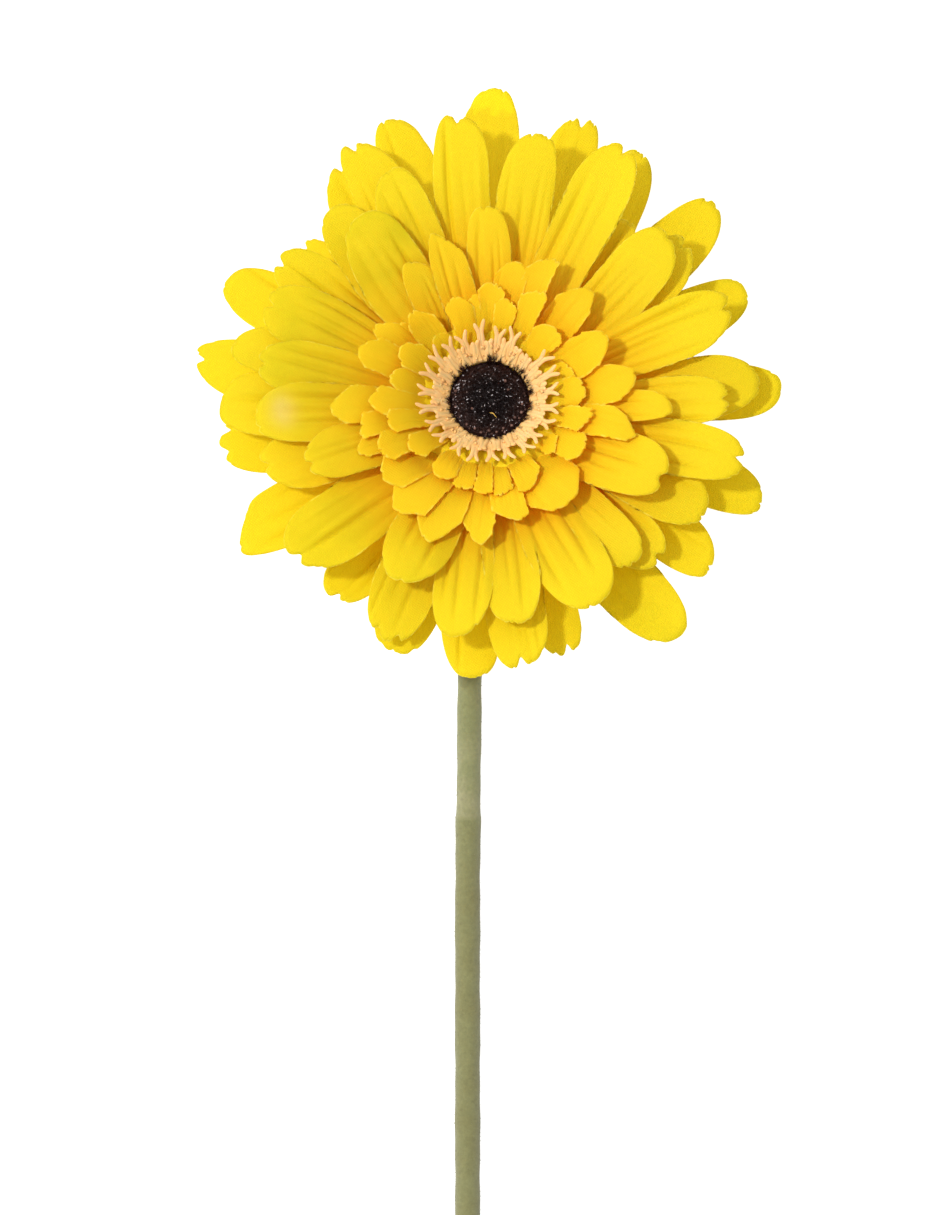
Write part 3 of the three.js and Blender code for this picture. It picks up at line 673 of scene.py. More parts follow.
class GERBERA_OT_petals(bpy.types.Operator):
    """Makes the six whorls of pressed cloth petals"""

    bl_idname = "gerbera.petals"
    bl_label = "Petals"

    def execute(self, context):
        settings = context.scene.gerbera_petals
        cloth = cloth_material(settings, "petal_cloth", CLOTH_SHARE)
        backed = cloth_material(settings, "backed_cloth", WEB_SHARE)
        sheets = {"petals_web": web_grid()}
        for number, whorl in enumerate(WHORLS):
            rng = np.random.default_rng(PETAL_SEED + number)
            grid, values = petal_grids(whorl, settings, rng)
            sheets[whorl["name"]] = grid.reshape(-1, 3), grid_faces(*grid.shape[:3]), values
        for name, (points, faces, values) in sheets.items():
            material = backed if name == "petals_web" else cloth
            piece = add_piece(name, points, faces, "petals", material, values)
            give_wall(piece, "Cloth", settings.thickness)
        return {"FINISHED"}


# ---- receptacle --------------------------------------------------------------------------------


def turned(profile, sides, ripple=0.0, lobes=0):
    """A body turned round the head's axis, from pairs of radius and height, with an even ripple
    of the radius round it: radius (1 + ripple cos(lobes angle))."""
    radius, height = np.array(profile, float).T
    angle = all_round(sides)[None, :]
    wide = radius[:, None] * (1 + ripple * np.cos(lobes * angle))
    points = on_table(wide * np.cos(angle), wide * np.sin(angle), height[:, None])
    return points[None]


def rounded(profile, steps):
    """A profile with its corners rounded: the quadratic curve through the middles of its
    sides, with its corners as control points, and the ends kept."""
    p = np.array(profile, float)
    start = np.concatenate([p[:1], (p[1:-2] + p[2:-1]) / 2])
    end = np.concatenate([(p[1:-2] + p[2:-1]) / 2, p[-1:]])
    t = np.linspace(0, 1, steps)[None, :, None]
    middle = p[1:-1][:, None]
    curve = (1 - t) ** 2 * start[:, None] + 2 * t * (1 - t) * middle + t**2 * end[:, None]
    flat = curve.reshape(-1, 2)
    keep = np.concatenate([[True], np.linalg.norm(np.diff(flat, axis=0), axis=1) > 1e-6])
    return flat[keep]


class GERBERA_OT_receptacle(bpy.types.Operator):
    """Makes the body under the petals, which carries them"""

    bl_idname = "gerbera.receptacle"
    bl_label = "Receptacle"

    def execute(self, context):
        profile = [
            (0.02, -7.6), (6.8, -6.7), (9, -4.6), (9.6, -3), (9.6, 6), (9.2, 7.3), (8.4, 7.3),
            (8.3, 6.7), (0.02, 6.7),
        ]
        grid = turned(rounded(profile, 5), 72, 0.006, 24)
        material, tree, out, place = new_material("receptacle_cloth")
        settings = context.scene.gerbera_petals
        blotch = noise(tree, place, 0.003)
        colour = blend(tree, blotch, (*settings.warm, 1), (*settings.light, 1))
        bump = bumped(tree, blotch, 1.0, 0.0002)
        give_finish(tree, out, {"Base Color": colour, "Roughness": 0.85, "Normal": bump})
        add_closed("receptacle", grid, "petals", material)
        return {"FINISHED"}


# ---- disc --------------------------------------------------------------------------------------

FIBRE_POINTS = 11  # of each fibre: three rings of three and its two ends
RIM_TUFTS = 74
LARGE_BUDS, SMALL_BUDS = 15, 24
SPREAD_BEADS, RIM_BEADS = 120, 30


class DiscSettings(bpy.types.PropertyGroup):
    """Sizes and colours of the flocked disc."""

    fibres: IntProperty(
        name="Fibres", description="How many fibres stand on the disc",
        default=6000, min=0, max=20000,
    )
    tuft: IntProperty(
        name="Tuft", description="How many fibres each tuft at the rim has", default=9, min=1, max=30
    )
    length: size_property("Fibre length", "Length of the longest fibres", 0.0012, 0.0001, 0.003)
    dark: colour_property("Disc brown", "Colour of most of the flock", (0.007, 0.0026, 0.0022))
    rust: colour_property("Rust", "Redder brown of the flock near the rim", (0.042, 0.015, 0.010))
    bud: colour_property("Buds", "Colour of the small buds near the rim", (0.20, 0.10, 0.075))
    # Near white beads: a painted highlight that stands in for glints of light on the flock.
    painted_glint: colour_property(
        "Beads", "Colour of the tiny bright beads among the fibres", (0.80, 0.77, 0.80)
    )
    straw: colour_property(
        "Stray fibre", "Colour of the stray fibre on the disc", (0.85, 0.55, 0.08)
    )


def dome_height(r):
    """Height of the disc at radius r: from the rim it rises to the top as one less the square
    of r over the disc's radius."""
    return DISC_RIM + (DISC_TOP - DISC_RIM) * (1 - (r / DISC_RADIUS) ** 2)


def spiral(count, radius):
    """Points spread evenly on a disc: each turns on by the golden angle, and its radius grows
    with the square root of its number."""
    number = np.arange(count) + 0.5
    r = radius * np.sqrt(number / count)
    angle = number * np.pi * (3 - math.sqrt(5))
    return r * np.cos(angle), r * np.sin(angle)


def flecks(base, direction, length, radius, sides=3, bend=0.0, rng=None):
    """Thin tapered fibres: rings of a few points along a line that bends aside with the square
    of the way along it. The last ring is almost a point."""
    count = len(base)
    t = np.array([0.0, 0.55, 1.0])[None, :, None, None]
    taper = np.array([1.0, 0.75, 0.12])[None, :, None, None]
    direction = direction / np.linalg.norm(direction, axis=1, keepdims=True)
    helper = np.where(np.abs(direction[:, 2:]) < 0.9, [[0.0, 0.0, 1.0]], [[1.0, 0.0, 0.0]])
    first = np.cross(direction, helper)
    first /= np.linalg.norm(first, axis=1, keepdims=True)
    second = np.cross(direction, first)
    angle = all_round(sides)[None, None, :, None]
    ring = np.cos(angle) * first[:, None, None] + np.sin(angle) * second[:, None, None]
    aside = 0 if rng is None else rng.normal(0, bend, (count, 3))[:, None, None]
    centre = base[:, None, None] + direction[:, None, None] * (t * length[:, None, None, None])
    centre = centre + aside * t**2 * length[:, None, None, None]
    return centre + ring * taper * radius[:, None, None, None]


def flock_material(settings):
    """Dark brown fibres, redder near the rim, with a gloss that catches the light."""
    material, tree, out, place = new_material("disc_flock")
    patch = noise(tree, place, 0.0011, 3.0, 0.7)
    uneven = scaled(tree, patch, 0.3, 0.65, 0.25, 1.3)
    rim = calculated(tree, "MULTIPLY", attribute(tree, "rim"), uneven)
    colour = blend(tree, rim, (*settings.dark, 1), (*settings.rust, 1))
    rough = scaled(tree, noise(tree, place, 0.0006), 0.3, 0.7, 0.2, 0.45)
    sockets = {"Base Color": colour, "Roughness": rough, "Specular IOR Level": 0.2}
    give_finish(tree, out, sockets)
    return material


def speck_material(name, colour, dark, rough):
    """Small grains of one colour, mottled with a darker one."""
    material, tree, out, place = new_material(name)
    mix = scaled(tree, noise(tree, place, 0.0007), 0.35, 0.7)
    mottled = blend(tree, mix, (*colour, 1), (*dark, 1))
    sockets = {"Base Color": mottled, "Roughness": rough, "Specular IOR Level": 0.6}
    give_finish(tree, out, sockets)
    return material


def rim_share(r, points_each):
    """How near the rim each fibre's root is, for every point of it."""
    return {"rim": np.repeat(smoothstep(3, 8, r), points_each)}


class GERBERA_OT_disc(bpy.types.Operator):
    """Makes the flocked disc in the middle, with its fibres and buds"""

    bl_idname = "gerbera.disc"
    bl_label = "Disc"

    def execute(self, context):
        settings = context.scene.gerbera_disc
        rng = np.random.default_rng(7)
        flock = flock_material(settings)
        self.body(flock)
        self.fibres(settings, flock, rng)
        self.fringe(settings, flock, rng)
        self.buds(settings)
        self.beads(settings)
        self.stray_fibre(settings)
        return {"FINISHED"}

    def body(self, flock):
        """The dome: rings from its base up and over, lifted by a relief of crossing waves."""
        inward = np.linspace(DISC_RADIUS, 0.1, 60)
        r = np.concatenate([[0.02, 7.6], inward])[:, None]
        c = np.concatenate([[DISC_BASE, DISC_BASE], dome_height(inward) - 0.15])[:, None]
        sides = 180
        angle = all_round(sides)[None, :]
        relief = np.sin(r * 5.2 + 3 * np.sin(angle * 5)) * np.cos(angle * 26 + r * 2) * 0.16
        lift = relief * smoothstep(DISC_BASE + 0.2, DISC_RIM, c) * smoothstep(0.1, 2, r)
        grid = on_table(r * np.cos(angle), r * np.sin(angle), c + lift)[None]
        rim = np.concatenate([rim_share(r[:, 0], sides)["rim"], [0, 0]])
        add_closed("disc_body", grid, "disc", flock, {"rim": rim})

    def fibres(self, settings, flock, rng):
        """Short fibres that stand out of the dome, in tufts that lean together."""
        x, y = spiral(settings.fibres, DISC_RADIUS * 0.99)
        r = np.hypot(x, y)
        base = on_table(x, y, dome_height(r) - 0.2)
        outward = smoothstep(4.5, 8, r)
        away = np.maximum(r, 0.1)
        lean_x = x / away * outward * 0.9 + 0.7 * np.sin(x * 2.1 + 2 * np.sin(y * 1.7))
        lean_y = y / away * outward * 0.9 + 0.7 * np.cos(y * 2.4 - 2 * np.sin(x * 1.3))
        heading = np.stack([lean_x, lean_y, np.ones_like(x)], -1)
        heading += rng.normal(0, 0.6, heading.shape)
        tall = 0.75 + 0.25 * np.sin(x * 3.1 + 1.5 * np.sin(y * 2.3)) * np.cos(y * 2.7)
        length = settings.length / MM * rng.uniform(0.55, 1.0, len(x)) * tall
        grid = flecks(base, heading, length, rng.uniform(0.045, 0.08, len(x)), 3, 0.4, rng)
        add_closed("disc_fibres", grid, "disc", flock, rim_share(r, FIBRE_POINTS))

    def fringe(self, settings, flock, rng):
        """Tufts at the rim, which reach out over the collar: the fibres of a tuft start side by
        side and meet at its point, and the tufts at the top right reach furthest."""
        tuft = settings.tuft
        spread = np.sort(rng.uniform(0, 360, RIM_TUFTS))
        bearing = np.repeat(spread, tuft) + rng.normal(0, 2.2, RIM_TUFTS * tuft)
        bearing = np.radians(bearing)
        centre = np.radians(np.repeat(spread + rng.normal(0, 3, RIM_TUFTS), tuft))
        far = 0.75 + 0.45 * np.exp(-((((spread + 150) % 360 - 175) / 45) ** 2))
        reach = np.repeat(far * rng.uniform(0.4, 1.3, RIM_TUFTS), tuft)
        r = rng.uniform(7.4, 7.95, len(bearing))
        base = np.stack([r * np.sin(bearing), r * np.cos(bearing), dome_height(r) + 0.1], -1)
        tip_r = DISC_RADIUS + reach * rng.uniform(0.55, 1.0, len(reach))
        tip_c = DISC_TOP + 0.7 * reach + rng.uniform(0, 0.4, len(reach))
        tip = np.stack([tip_r * np.sin(centre), tip_r * np.cos(centre), tip_c], -1)
        root = on_table(*base.T)
        way = on_table(*tip.T) - root
        length = np.linalg.norm(way, axis=1)
        grid = flecks(root, way, length, rng.uniform(0.05, 0.09, len(r)), 3, 0.12, rng)
        add_closed("disc_fringe", grid, "disc", flock, rim_share(r, FIBRE_POINTS))

    def buds(self, settings):
        """Small soft buds near the rim and a few further in: short fat drops."""
        rng = np.random.default_rng(11)
        bearing = np.array([98, 112, 126, 140, 155, 168, 181, 194, 206, 222, 240, 258, 285, 40, 63])
        r = np.array([6.6, 6.9, 6.3, 6.9, 6.5, 6.8, 6.4, 6.9, 6.6, 6.8, 4.0, 6.9, 7.0, 4.9, 4.2])
        r = np.concatenate([r, rng.uniform(6.8, 7.5, SMALL_BUDS)])
        bearing = np.radians(np.concatenate([bearing, rng.uniform(75, 310, SMALL_BUDS)]))
        x, y = r * np.sin(bearing), r * np.cos(bearing)
        base = on_table(x, y, dome_height(r) + 0.25)
        heading = np.stack([x * 0.04, y * 0.04, np.ones_like(x)], -1)
        size = np.where(np.arange(len(r)) < LARGE_BUDS, 0.34, 0.2)
        size = size * rng.uniform(0.85, 1.15, len(r))
        grid = flecks(base, heading, size * 1.5, size, 10)
        material = speck_material("bud_fibre", settings.bud, settings.rust, 0.5)
        add_closed("disc_buds", grid, "disc", material)

    def beads(self, settings):
        """Tiny beads on the fibres, near white as painted glints of light on the flock: most of them
        at the left rim.
        """
        rng = np.random.default_rng(23)
        x, y = spiral(SPREAD_BEADS, DISC_RADIUS * 0.92)
        bearing = np.radians(rng.uniform(238, 318, RIM_BEADS))
        r = rng.uniform(6.2, 7.6, RIM_BEADS)
        x = np.concatenate([x + rng.normal(0, 0.5, SPREAD_BEADS), r * np.sin(bearing)])
        y = np.concatenate([y + rng.normal(0, 0.5, SPREAD_BEADS), r * np.cos(bearing)])
        r = np.minimum(np.hypot(x, y), DISC_RADIUS)
        base = on_table(x, y, dome_height(r) + rng.uniform(0.35, 0.7, len(x)))
        heading = rng.normal(0, 0.6, (len(x), 3)) + [0, 0, 1]
        larger = np.where(np.arange(len(x)) < SPREAD_BEADS, 1, 1.4)
        size = rng.uniform(0.05, 0.1, len(x)) * larger
        grid = flecks(base, heading, size * rng.uniform(1.5, 6, len(x)), size, 6)
        # The near white of the beads is a painted glint.
        material = speck_material("painted_glint_beads", settings.painted_glint, settings.bud, 0.15)
        add_closed("disc_painted_glints", grid, "disc", material)

    def stray_fibre(self, settings):
        """One stray yellow fibre lying on the flock, bent in the middle."""
        t = np.linspace(0, 1, 11)[None, :, None]
        angle = all_round(6)[None, None, :]
        x = 1.5 * t
        y = -3.1 - 0.2 * t - 0.9 * np.maximum(t - 0.45, 0) / 0.55
        c = dome_height(3.4) + 0.95
        radius = 0.1 * np.sqrt(1.02 - (2 * t - 1) ** 2)
        grid = on_table(x + 0 * angle, y + radius * np.cos(angle), c + radius * np.sin(angle))
        material = speck_material("stray_fibre", settings.straw, (0.6, 0.35, 0.05), 0.4)
        add_closed("disc_stray_fibre", grid, "disc", material)


# ---- collar ------------------------------------------------------------------------------------

COLLAR_FORKS = 23
COLLAR_FIRST = 7.3  # bearing of the first outer fork
COLLAR_MISSING = 2  # number of the outer fork that isn't there
COLLAR_RISE = 41.0  # of the forks over the face plane, in degrees
COLLAR_NUBS = 190
OUTER_FORK = dict(radius=8.3, height=8.3, length=8.45, foot=2.5, width=1.4, spread=3.3, notch=2.0)
INNER_FORK = dict(radius=8.15, height=8.55, length=4.9, foot=2.4, width=1.5, spread=2.3, notch=1.3)


class CollarSettings(bpy.types.PropertyGroup):
    """Sizes and colours of the forked plastic collar."""

    arm: size_property("Arm width", "Width of each arm of a fork", 0.00105, 0.0003, 0.002)
    peach: colour_property("Collar peach", "Colour of the plastic", (0.78, 0.49, 0.20))
    deep: colour_property("Deep peach", "Colour of the plastic in its hollows", (0.75, 0.41, 0.12))


def on_head(across, along, up, bearing, radius, height, rise):
    """Places points of a plate on the head: it is tipped up by rise, moved out to the radius and
    up to the height, and turned to the bearing. All angles are in radians."""
    out = radius + along * np.cos(rise) - up * np.sin(rise)
    c = height + along * np.sin(rise) + up * np.cos(rise)
    x = across * np.cos(bearing) + out * np.sin(bearing)
    y = -across * np.sin(bearing) + out * np.cos(bearing)
    return on_table(x, y, c)


def fork_arms(fork, bearings, arm, rng):
    """Both arms of each fork, as tubes: an arm runs beside the middle line, from half the foot's
    width to half the trunk's at the split, and then aside to half the spread, with a smooth
    step. Its section is a flat ellipse, which narrows to a blunt round tip as the square root
    of what is left of the way."""
    count = len(bearings)
    t = np.sin(np.pi / 2 * np.linspace(0, 1, 15))[None, None, :, None]
    angle = all_round(10)[None, None, None, :]
    side = np.array([-1.0, 1.0])[None, :, None, None]

    def each(low, high):
        return rng.uniform(low, high, (count, 1, 1, 1))

    along = t * fork["length"] * (each(0.88, 1.04) + side * each(-0.06, 0.06))
    split = 1 - fork["notch"] / fork["length"]
    part = smoothstep(split - 0.12, 1.05, t)
    trunk = fork["foot"] + (fork["width"] - fork["foot"]) * np.minimum(t / split, 1) ** 0.7
    middle = side * (trunk - arm) / 2
    centre = middle + side * (fork["spread"] - fork["width"]) / 2 * part * each(0.8, 1.2)
    centre = centre + each(-0.6, 0.6) * t**2
    blunt = np.sqrt(np.clip(1 - ((t - 0.88) / 0.12).clip(0, 1) ** 2, 0.03, 1))
    half = arm / 2 * (1.05 - 0.2 * t) * blunt
    bend = each(-0.4, 0.6) * t**2
    grid = on_head(
        centre + half * np.cos(angle), along, bend + 0.55 * half * np.sin(angle),
        np.radians(bearings)[:, None, None, None], fork["radius"], fork["height"],
        math.radians(COLLAR_RISE),
    )
    return grid.reshape(-1, *grid.shape[2:])


def collar_material(settings):
    """Soft peach plastic, mottled at random with a deeper peach, a little rough from the mould."""
    material, tree, out, place = new_material("collar_plastic")
    blotch = scaled(tree, noise(tree, place, 0.0025), 0.3, 0.75, 0.0, 0.6)
    colour = blend(tree, blotch, (*settings.peach, 1), (*settings.deep, 1))
    bump = bumped(tree, noise(tree, place, 0.0003), 0.4, 0.00008)
    sockets = {
        "Base Color": colour, "Roughness": 0.6, "Normal": bump, "Subsurface Weight": 0.5,
        "Subsurface Radius": (1.0, 0.7, 0.45), "Subsurface Scale": 0.0004,
        "Specular IOR Level": 0.2,
    }
    give_finish(tree, out, sockets)
    return material


class GERBERA_OT_collar(bpy.types.Operator):
    """Makes the plastic collar round the disc, with two rows of forks"""

    bl_idname = "gerbera.collar"
    bl_label = "Collar"

    def execute(self, context):
        settings = context.scene.gerbera_collar
        plastic = collar_material(settings)
        self.ring(plastic)
        self.nubs(plastic)
        pitch = 360 / COLLAR_FORKS
        places = COLLAR_FIRST + pitch * np.arange(COLLAR_FORKS)
        rng = np.random.default_rng(3)
        rows = {
            "collar_outer_forks": (OUTER_FORK, np.delete(places, COLLAR_MISSING), 1.0),
            "collar_inner_forks": (INNER_FORK, places + pitch / 2, 1.1),
        }
        for name, (fork, bearings, share) in rows.items():
            grid = fork_arms(fork, bearings, settings.arm / MM * share, rng)
            add_closed(name, grid, "collar", plastic)
        return {"FINISHED"}

    def ring(self, plastic):
        """The ring that joins the forks: a closed section carried round the axis, with a rib
        under each fork as a cosine of the angle, strongest at its outer lip."""
        profile = np.array([
            (8.05, 8.5), (9.2, 9.5), (10.9, 10.95), (11.5, 10.6), (9.2, 7.9), (8.05, 7.7)
        ])
        middle = profile.mean(0)
        loop = np.concatenate([profile[-1:], profile, profile[:1]])
        points = rounded(np.concatenate([loop, profile[1:2]]), 6)[5:-5]
        r, c = points[:, :1], points[:, 1:]
        angle = all_round(368)[None, :]
        rib = np.cos(2 * COLLAR_FORKS * angle + 0.4) * smoothstep(8.4, 10, r) * 0.16
        rib = rib + 0.05 * np.sin(angle * 61 + 3 * np.sin(angle * 9)) * smoothstep(middle[1], 10, c)
        grid = on_table((r + rib) * np.cos(angle), (r + rib) * np.sin(angle), c + rib)
        rows, cols = grid.shape[:2]
        quads = grid_faces(1, rows, cols, closed=True)[0]
        last = (rows - 1) * cols
        around = np.arange(cols)
        beside = (around + 1) % cols
        seam = np.stack([last + around, last + beside, beside, around], -1)
        faces = np.concatenate([quads, seam])[:, ::-1], NO_TRIS
        add_piece("collar_ring", grid.reshape(-1, 3), faces, "collar", plastic)

    def nubs(self, plastic):
        """Little nubs of plastic on the inner part of the ring, larger further out."""
        rng = np.random.default_rng(31)
        count = COLLAR_NUBS
        angle = np.linspace(0, 6 * np.pi, count, endpoint=False) + rng.normal(0, 0.04, count)
        r = 8.2 + 2.3 * rng.uniform(0, 1, count) ** 1.4
        base = on_table(r * np.cos(angle), r * np.sin(angle), 8.5 + 0.9 * (r - 8.2))
        heading = np.stack([np.cos(angle) * 0.5, np.sin(angle) * 0.5, np.ones(count)], -1)
        heading += rng.normal(0, 0.35, heading.shape)
        size = rng.uniform(0.15, 0.3, count) + 0.06 * (r - 8.2)
        grid = flecks(base, heading, size * rng.uniform(2.2, 3.4, count), size, 8)
        add_closed("collar_beads", grid, "collar", plastic)


# ---- calyx -------------------------------------------------------------------------------------

BRACTS = 12
UPPER_BRACT = dict(radius=9.2, height=-5.3, length=8.0, width=3.6, rise=15.0)
LOWER_BRACT = dict(radius=6.9, height=-10.2, length=7.0, width=3.2, rise=40.0)


class CalyxSettings(bpy.types.PropertyGroup):
    """Sizes and colours of the calyx."""

    thickness: size_property(
        "Bract thickness", "Thickness of the pointed bracts", 0.0006, 0.0002, 0.001
    )
    green: colour_property("Calyx green", "Colour of the cup and bracts", (0.20, 0.26, 0.09))
    light: colour_property("Calyx light green", "Colour of the raised parts", (0.34, 0.38, 0.15))


def leaf_material(settings):
    """Matte green plastic in two mottled greens, with a soft grain."""
    material, tree, out, place = new_material("calyx_plastic")
    blotch = scaled(tree, noise(tree, place, 0.003, 3.0, 0.6), 0.3, 0.7)
    colour = blend(tree, blotch, (*settings.green, 1), (*settings.light, 1))
    bump = bumped(tree, noise(tree, place, 0.0004, 3.0), 0.5, 0.0001)
    sockets = {
        "Base Color": colour, "Roughness": 0.75, "Normal": bump, "Specular IOR Level": 0.3
    }
    give_finish(tree, out, sockets)
    return material


def bract_grid(bract, first):
    """Pointed leaves: the half width falls from a broad root to the point as a power of a
    quarter cosine, the edges rise with the square of the way across, the tip with that of the
    way along, and a narrow bell sinks the keel."""
    u = np.linspace(0, 1, 13)[None, :, None]
    v = np.linspace(-1, 1, 9)[None, None, :]
    bearing = np.radians(first + np.arange(BRACTS) * 360 / BRACTS)[:, None, None]
    taper = np.cos(np.pi / 2 * u**1.6) ** 0.8
    half = bract["width"] / 2 * taper * (0.8 + 0.2 * np.sin(np.pi * u))
    up = 0.35 * v * v + 0.6 * u * u - 0.3 * np.exp(-((v / 0.2) ** 2)) * (1 - u)
    return on_head(
        half * v + 0 * bearing, u * bract["length"] + 0 * v, up, bearing, bract["radius"],
        bract["height"], math.radians(bract["rise"]),
    )


class GERBERA_OT_calyx(bpy.types.Operator):
    """Makes the green cup under the petals, with two rows of bracts"""

    bl_idname = "gerbera.calyx"
    bl_label = "Calyx"

    def execute(self, context):
        settings = context.scene.gerbera_calyx
        plastic = leaf_material(settings)
        profile = [
            (0.02, -11.6), (2.9, -11.6), (2.9, -13.2), (3.9, -13.2), (5.4, -12), (8.6, -8.8),
            (10.7, -5.2), (10.4, -4.7), (9.5, -4.7), (7.1, -7.05), (0.02, -7.95),
        ]
        grid = turned(rounded(profile, 5), 96, 0.012, 2 * BRACTS)
        add_closed("calyx_cup", grid, "calyx", plastic)
        for name, bract, first in (
            ("calyx_upper_bracts", UPPER_BRACT, 0),
            ("calyx_lower_bracts", LOWER_BRACT, 180 / BRACTS),
        ):
            grid = bract_grid(bract, first)
            faces = grid_faces(*grid.shape[:3])
            piece = add_piece(name, grid.reshape(-1, 3), faces, "calyx", plastic)
            give_wall(piece, "Bract", settings.thickness)
        return {"FINISHED"}


# ---- stem --------------------------------------------------------------------------------------

STEM_RADIUS = 2.5
STEM_OFFSET = -4.0  # of the lying stem, to the right of the middle of the disc
STEM_SWAY = 60.0  # from the middle of the disc to where the stem lies straight
SOCKET_ROOF, SOCKET_MOUTH = -11.6, -13.2
FIT = 0.3  # between the stem's end and the roof of its socket
PALE_PATCH = (66.0, 84.0)  # distance from the middle of the disc


class StemSettings(bpy.types.PropertyGroup):
    """Sizes and colours of the flocked stem."""

    fibres: IntProperty(
        name="Fibres", description="How many flock fibres stand on the stem",
        default=9000, min=0, max=40000,
    )
    length: size_property("Flock length", "Length of the flock", 0.00028, 0.0, 0.001)
    green: colour_property(
        "Stem green", "Colour of the upper part of the stem", (0.204, 0.213, 0.097)
    )
    olive: colour_property(
        "Stem olive", "Colour of the lower part of the stem", (0.178, 0.169, 0.068)
    )
    pale: colour_property("Stem pale", "Colour where the flock is thin", (0.30, 0.285, 0.16))


def bezier(points, t):
    """A curve through the first and last of its points, with the others as controls."""
    p = [np.asarray(point, float) for point in points]
    while len(p) > 1:
        p = [(1 - t) * a + t * b for a, b in zip(p, p[1:])]
    return p[0]


def stem_line(steps):
    """The middle line of the stem: along the head's axis in its socket, down to the table in a
    quadratic curve, over to its place in a cubic one, and straight on to the cut end. It is
    given again at equal steps along it."""
    top = on_table(0.0, 0.0, SOCKET_ROOF - FIT)
    mouth = on_table(0.0, 0.0, SOCKET_MOUTH - FIT)
    down = (mouth - top) / np.linalg.norm(mouth - top)
    corner = mouth + down * (STEM_RADIUS - mouth[2]) / down[2]
    landing = corner - [0, np.linalg.norm(corner - mouth), 0]
    lying = ORIGIN + [STEM_OFFSET, -STEM_SWAY, STEM_RADIUS]
    half = [0, (lying[1] - landing[1]) / 2, 0]
    t = np.linspace(0, 1, 60)[:, None]
    end = ORIGIN + [STEM_OFFSET, -STEM_LENGTH, STEM_RADIUS]
    line = np.concatenate([
        bezier([top, mouth], t),
        bezier([mouth, corner, landing], t[1:]),
        bezier([landing, landing + half, lying - half, lying], t[1:]),
        bezier([lying, end], t[1:]),
    ])
    way = np.concatenate([[0], np.cumsum(np.linalg.norm(np.diff(line, axis=0), axis=1))])
    even = np.linspace(0, way[-1], steps)
    return np.stack([np.interp(even, way, line[:, i]) for i in range(3)], -1)


def stem_surface(steps, sides):
    """The stem's tube: a circle in the level frame of its middle line, with a slow drift to the
    left and a small step where the flock was laid on again. The underside keeps to the table."""
    line = stem_line(steps)
    distance = ORIGIN[1] - line[:, 1]
    tangent = np.gradient(line, axis=0)
    tangent /= np.linalg.norm(tangent, axis=1, keepdims=True)
    aside = np.cross(tangent, [0.0, 0.0, 1.0])
    aside /= np.linalg.norm(aside, axis=1, keepdims=True)
    over = np.cross(aside, tangent)
    drift = -0.4 * smoothstep(55, 105, distance)
    line = line + np.stack([drift, 0 * drift, 0 * drift], -1)
    angle = all_round(sides)[None, :]
    way = distance[:, None]
    lump = 0.05 * np.sin(way * 0.31 + 2 * np.sin(angle)) + 0.04 * np.sin(way * 0.83 + angle * 2)
    step = 0.1 * (smoothstep(83.4, 84.2, way) - 0.5)
    radius = STEM_RADIUS + (lump + step) * smoothstep(14, 20, way)
    points = (
        line[:, None]
        + aside[:, None] * (radius * np.cos(angle))[..., None]
        + over[:, None] * (radius * np.sin(angle))[..., None]
    )
    points[..., 2] = np.maximum(points[..., 2], 0.0)
    outward = aside[:, None] * np.cos(angle)[..., None] + over[:, None] * np.sin(angle)[..., None]
    return points, outward


def stem_material(settings):
    """Flock over a stem: greener near the head and olive below, mottled, with a pale patch."""
    material, tree, out, place = new_material("stem_flock")
    y = new_node(tree, "ShaderNodeSeparateXYZ", {0: place}).outputs["Y"]
    head = float(ORIGIN[1])
    pale_from, pale_to = (head - distance for distance in PALE_PATCH)
    lower = scaled(tree, y, (head - 70) * MM, (head - 100) * MM)
    blotch = noise(tree, place, 0.006, 3.0, 0.65)
    fine = noise(tree, place, 0.0009, 3.0, 0.7)
    lower = scaled(tree, lower, 0, 1, 0.0, 0.75)
    mottled = calculated(tree, "ADD", lower, scaled(tree, blotch, 0.25, 0.75, -0.25, 0.35))
    colour = blend(tree, mottled, (*settings.green, 1), (*settings.olive, 1))
    start = scaled(tree, y, pale_from * MM, (pale_from - 8) * MM)
    stop = scaled(tree, y, pale_to * MM, (pale_to - 1) * MM, 1.0, 0.0)
    within = calculated(tree, "MULTIPLY", start, stop)
    thin = scaled(tree, blotch, 0.35, 0.65, 0.1, 0.75)
    patch = calculated(tree, "MULTIPLY", within, thin)
    colour = blend(tree, patch, colour, (*settings.pale, 1))
    colour = blend(tree, 1.0, colour, scaled(tree, fine, 0.25, 0.75, 0.82, 1.08), "MULTIPLY")
    sockets = {
        "Base Color": colour, "Roughness": 0.95, "Normal": bumped(tree, fine, 0.6, 0.0002),
        "Specular IOR Level": 0.1, "Sheen Weight": 0.25, "Sheen Roughness": 0.6,
    }
    give_finish(tree, out, sockets)
    return material


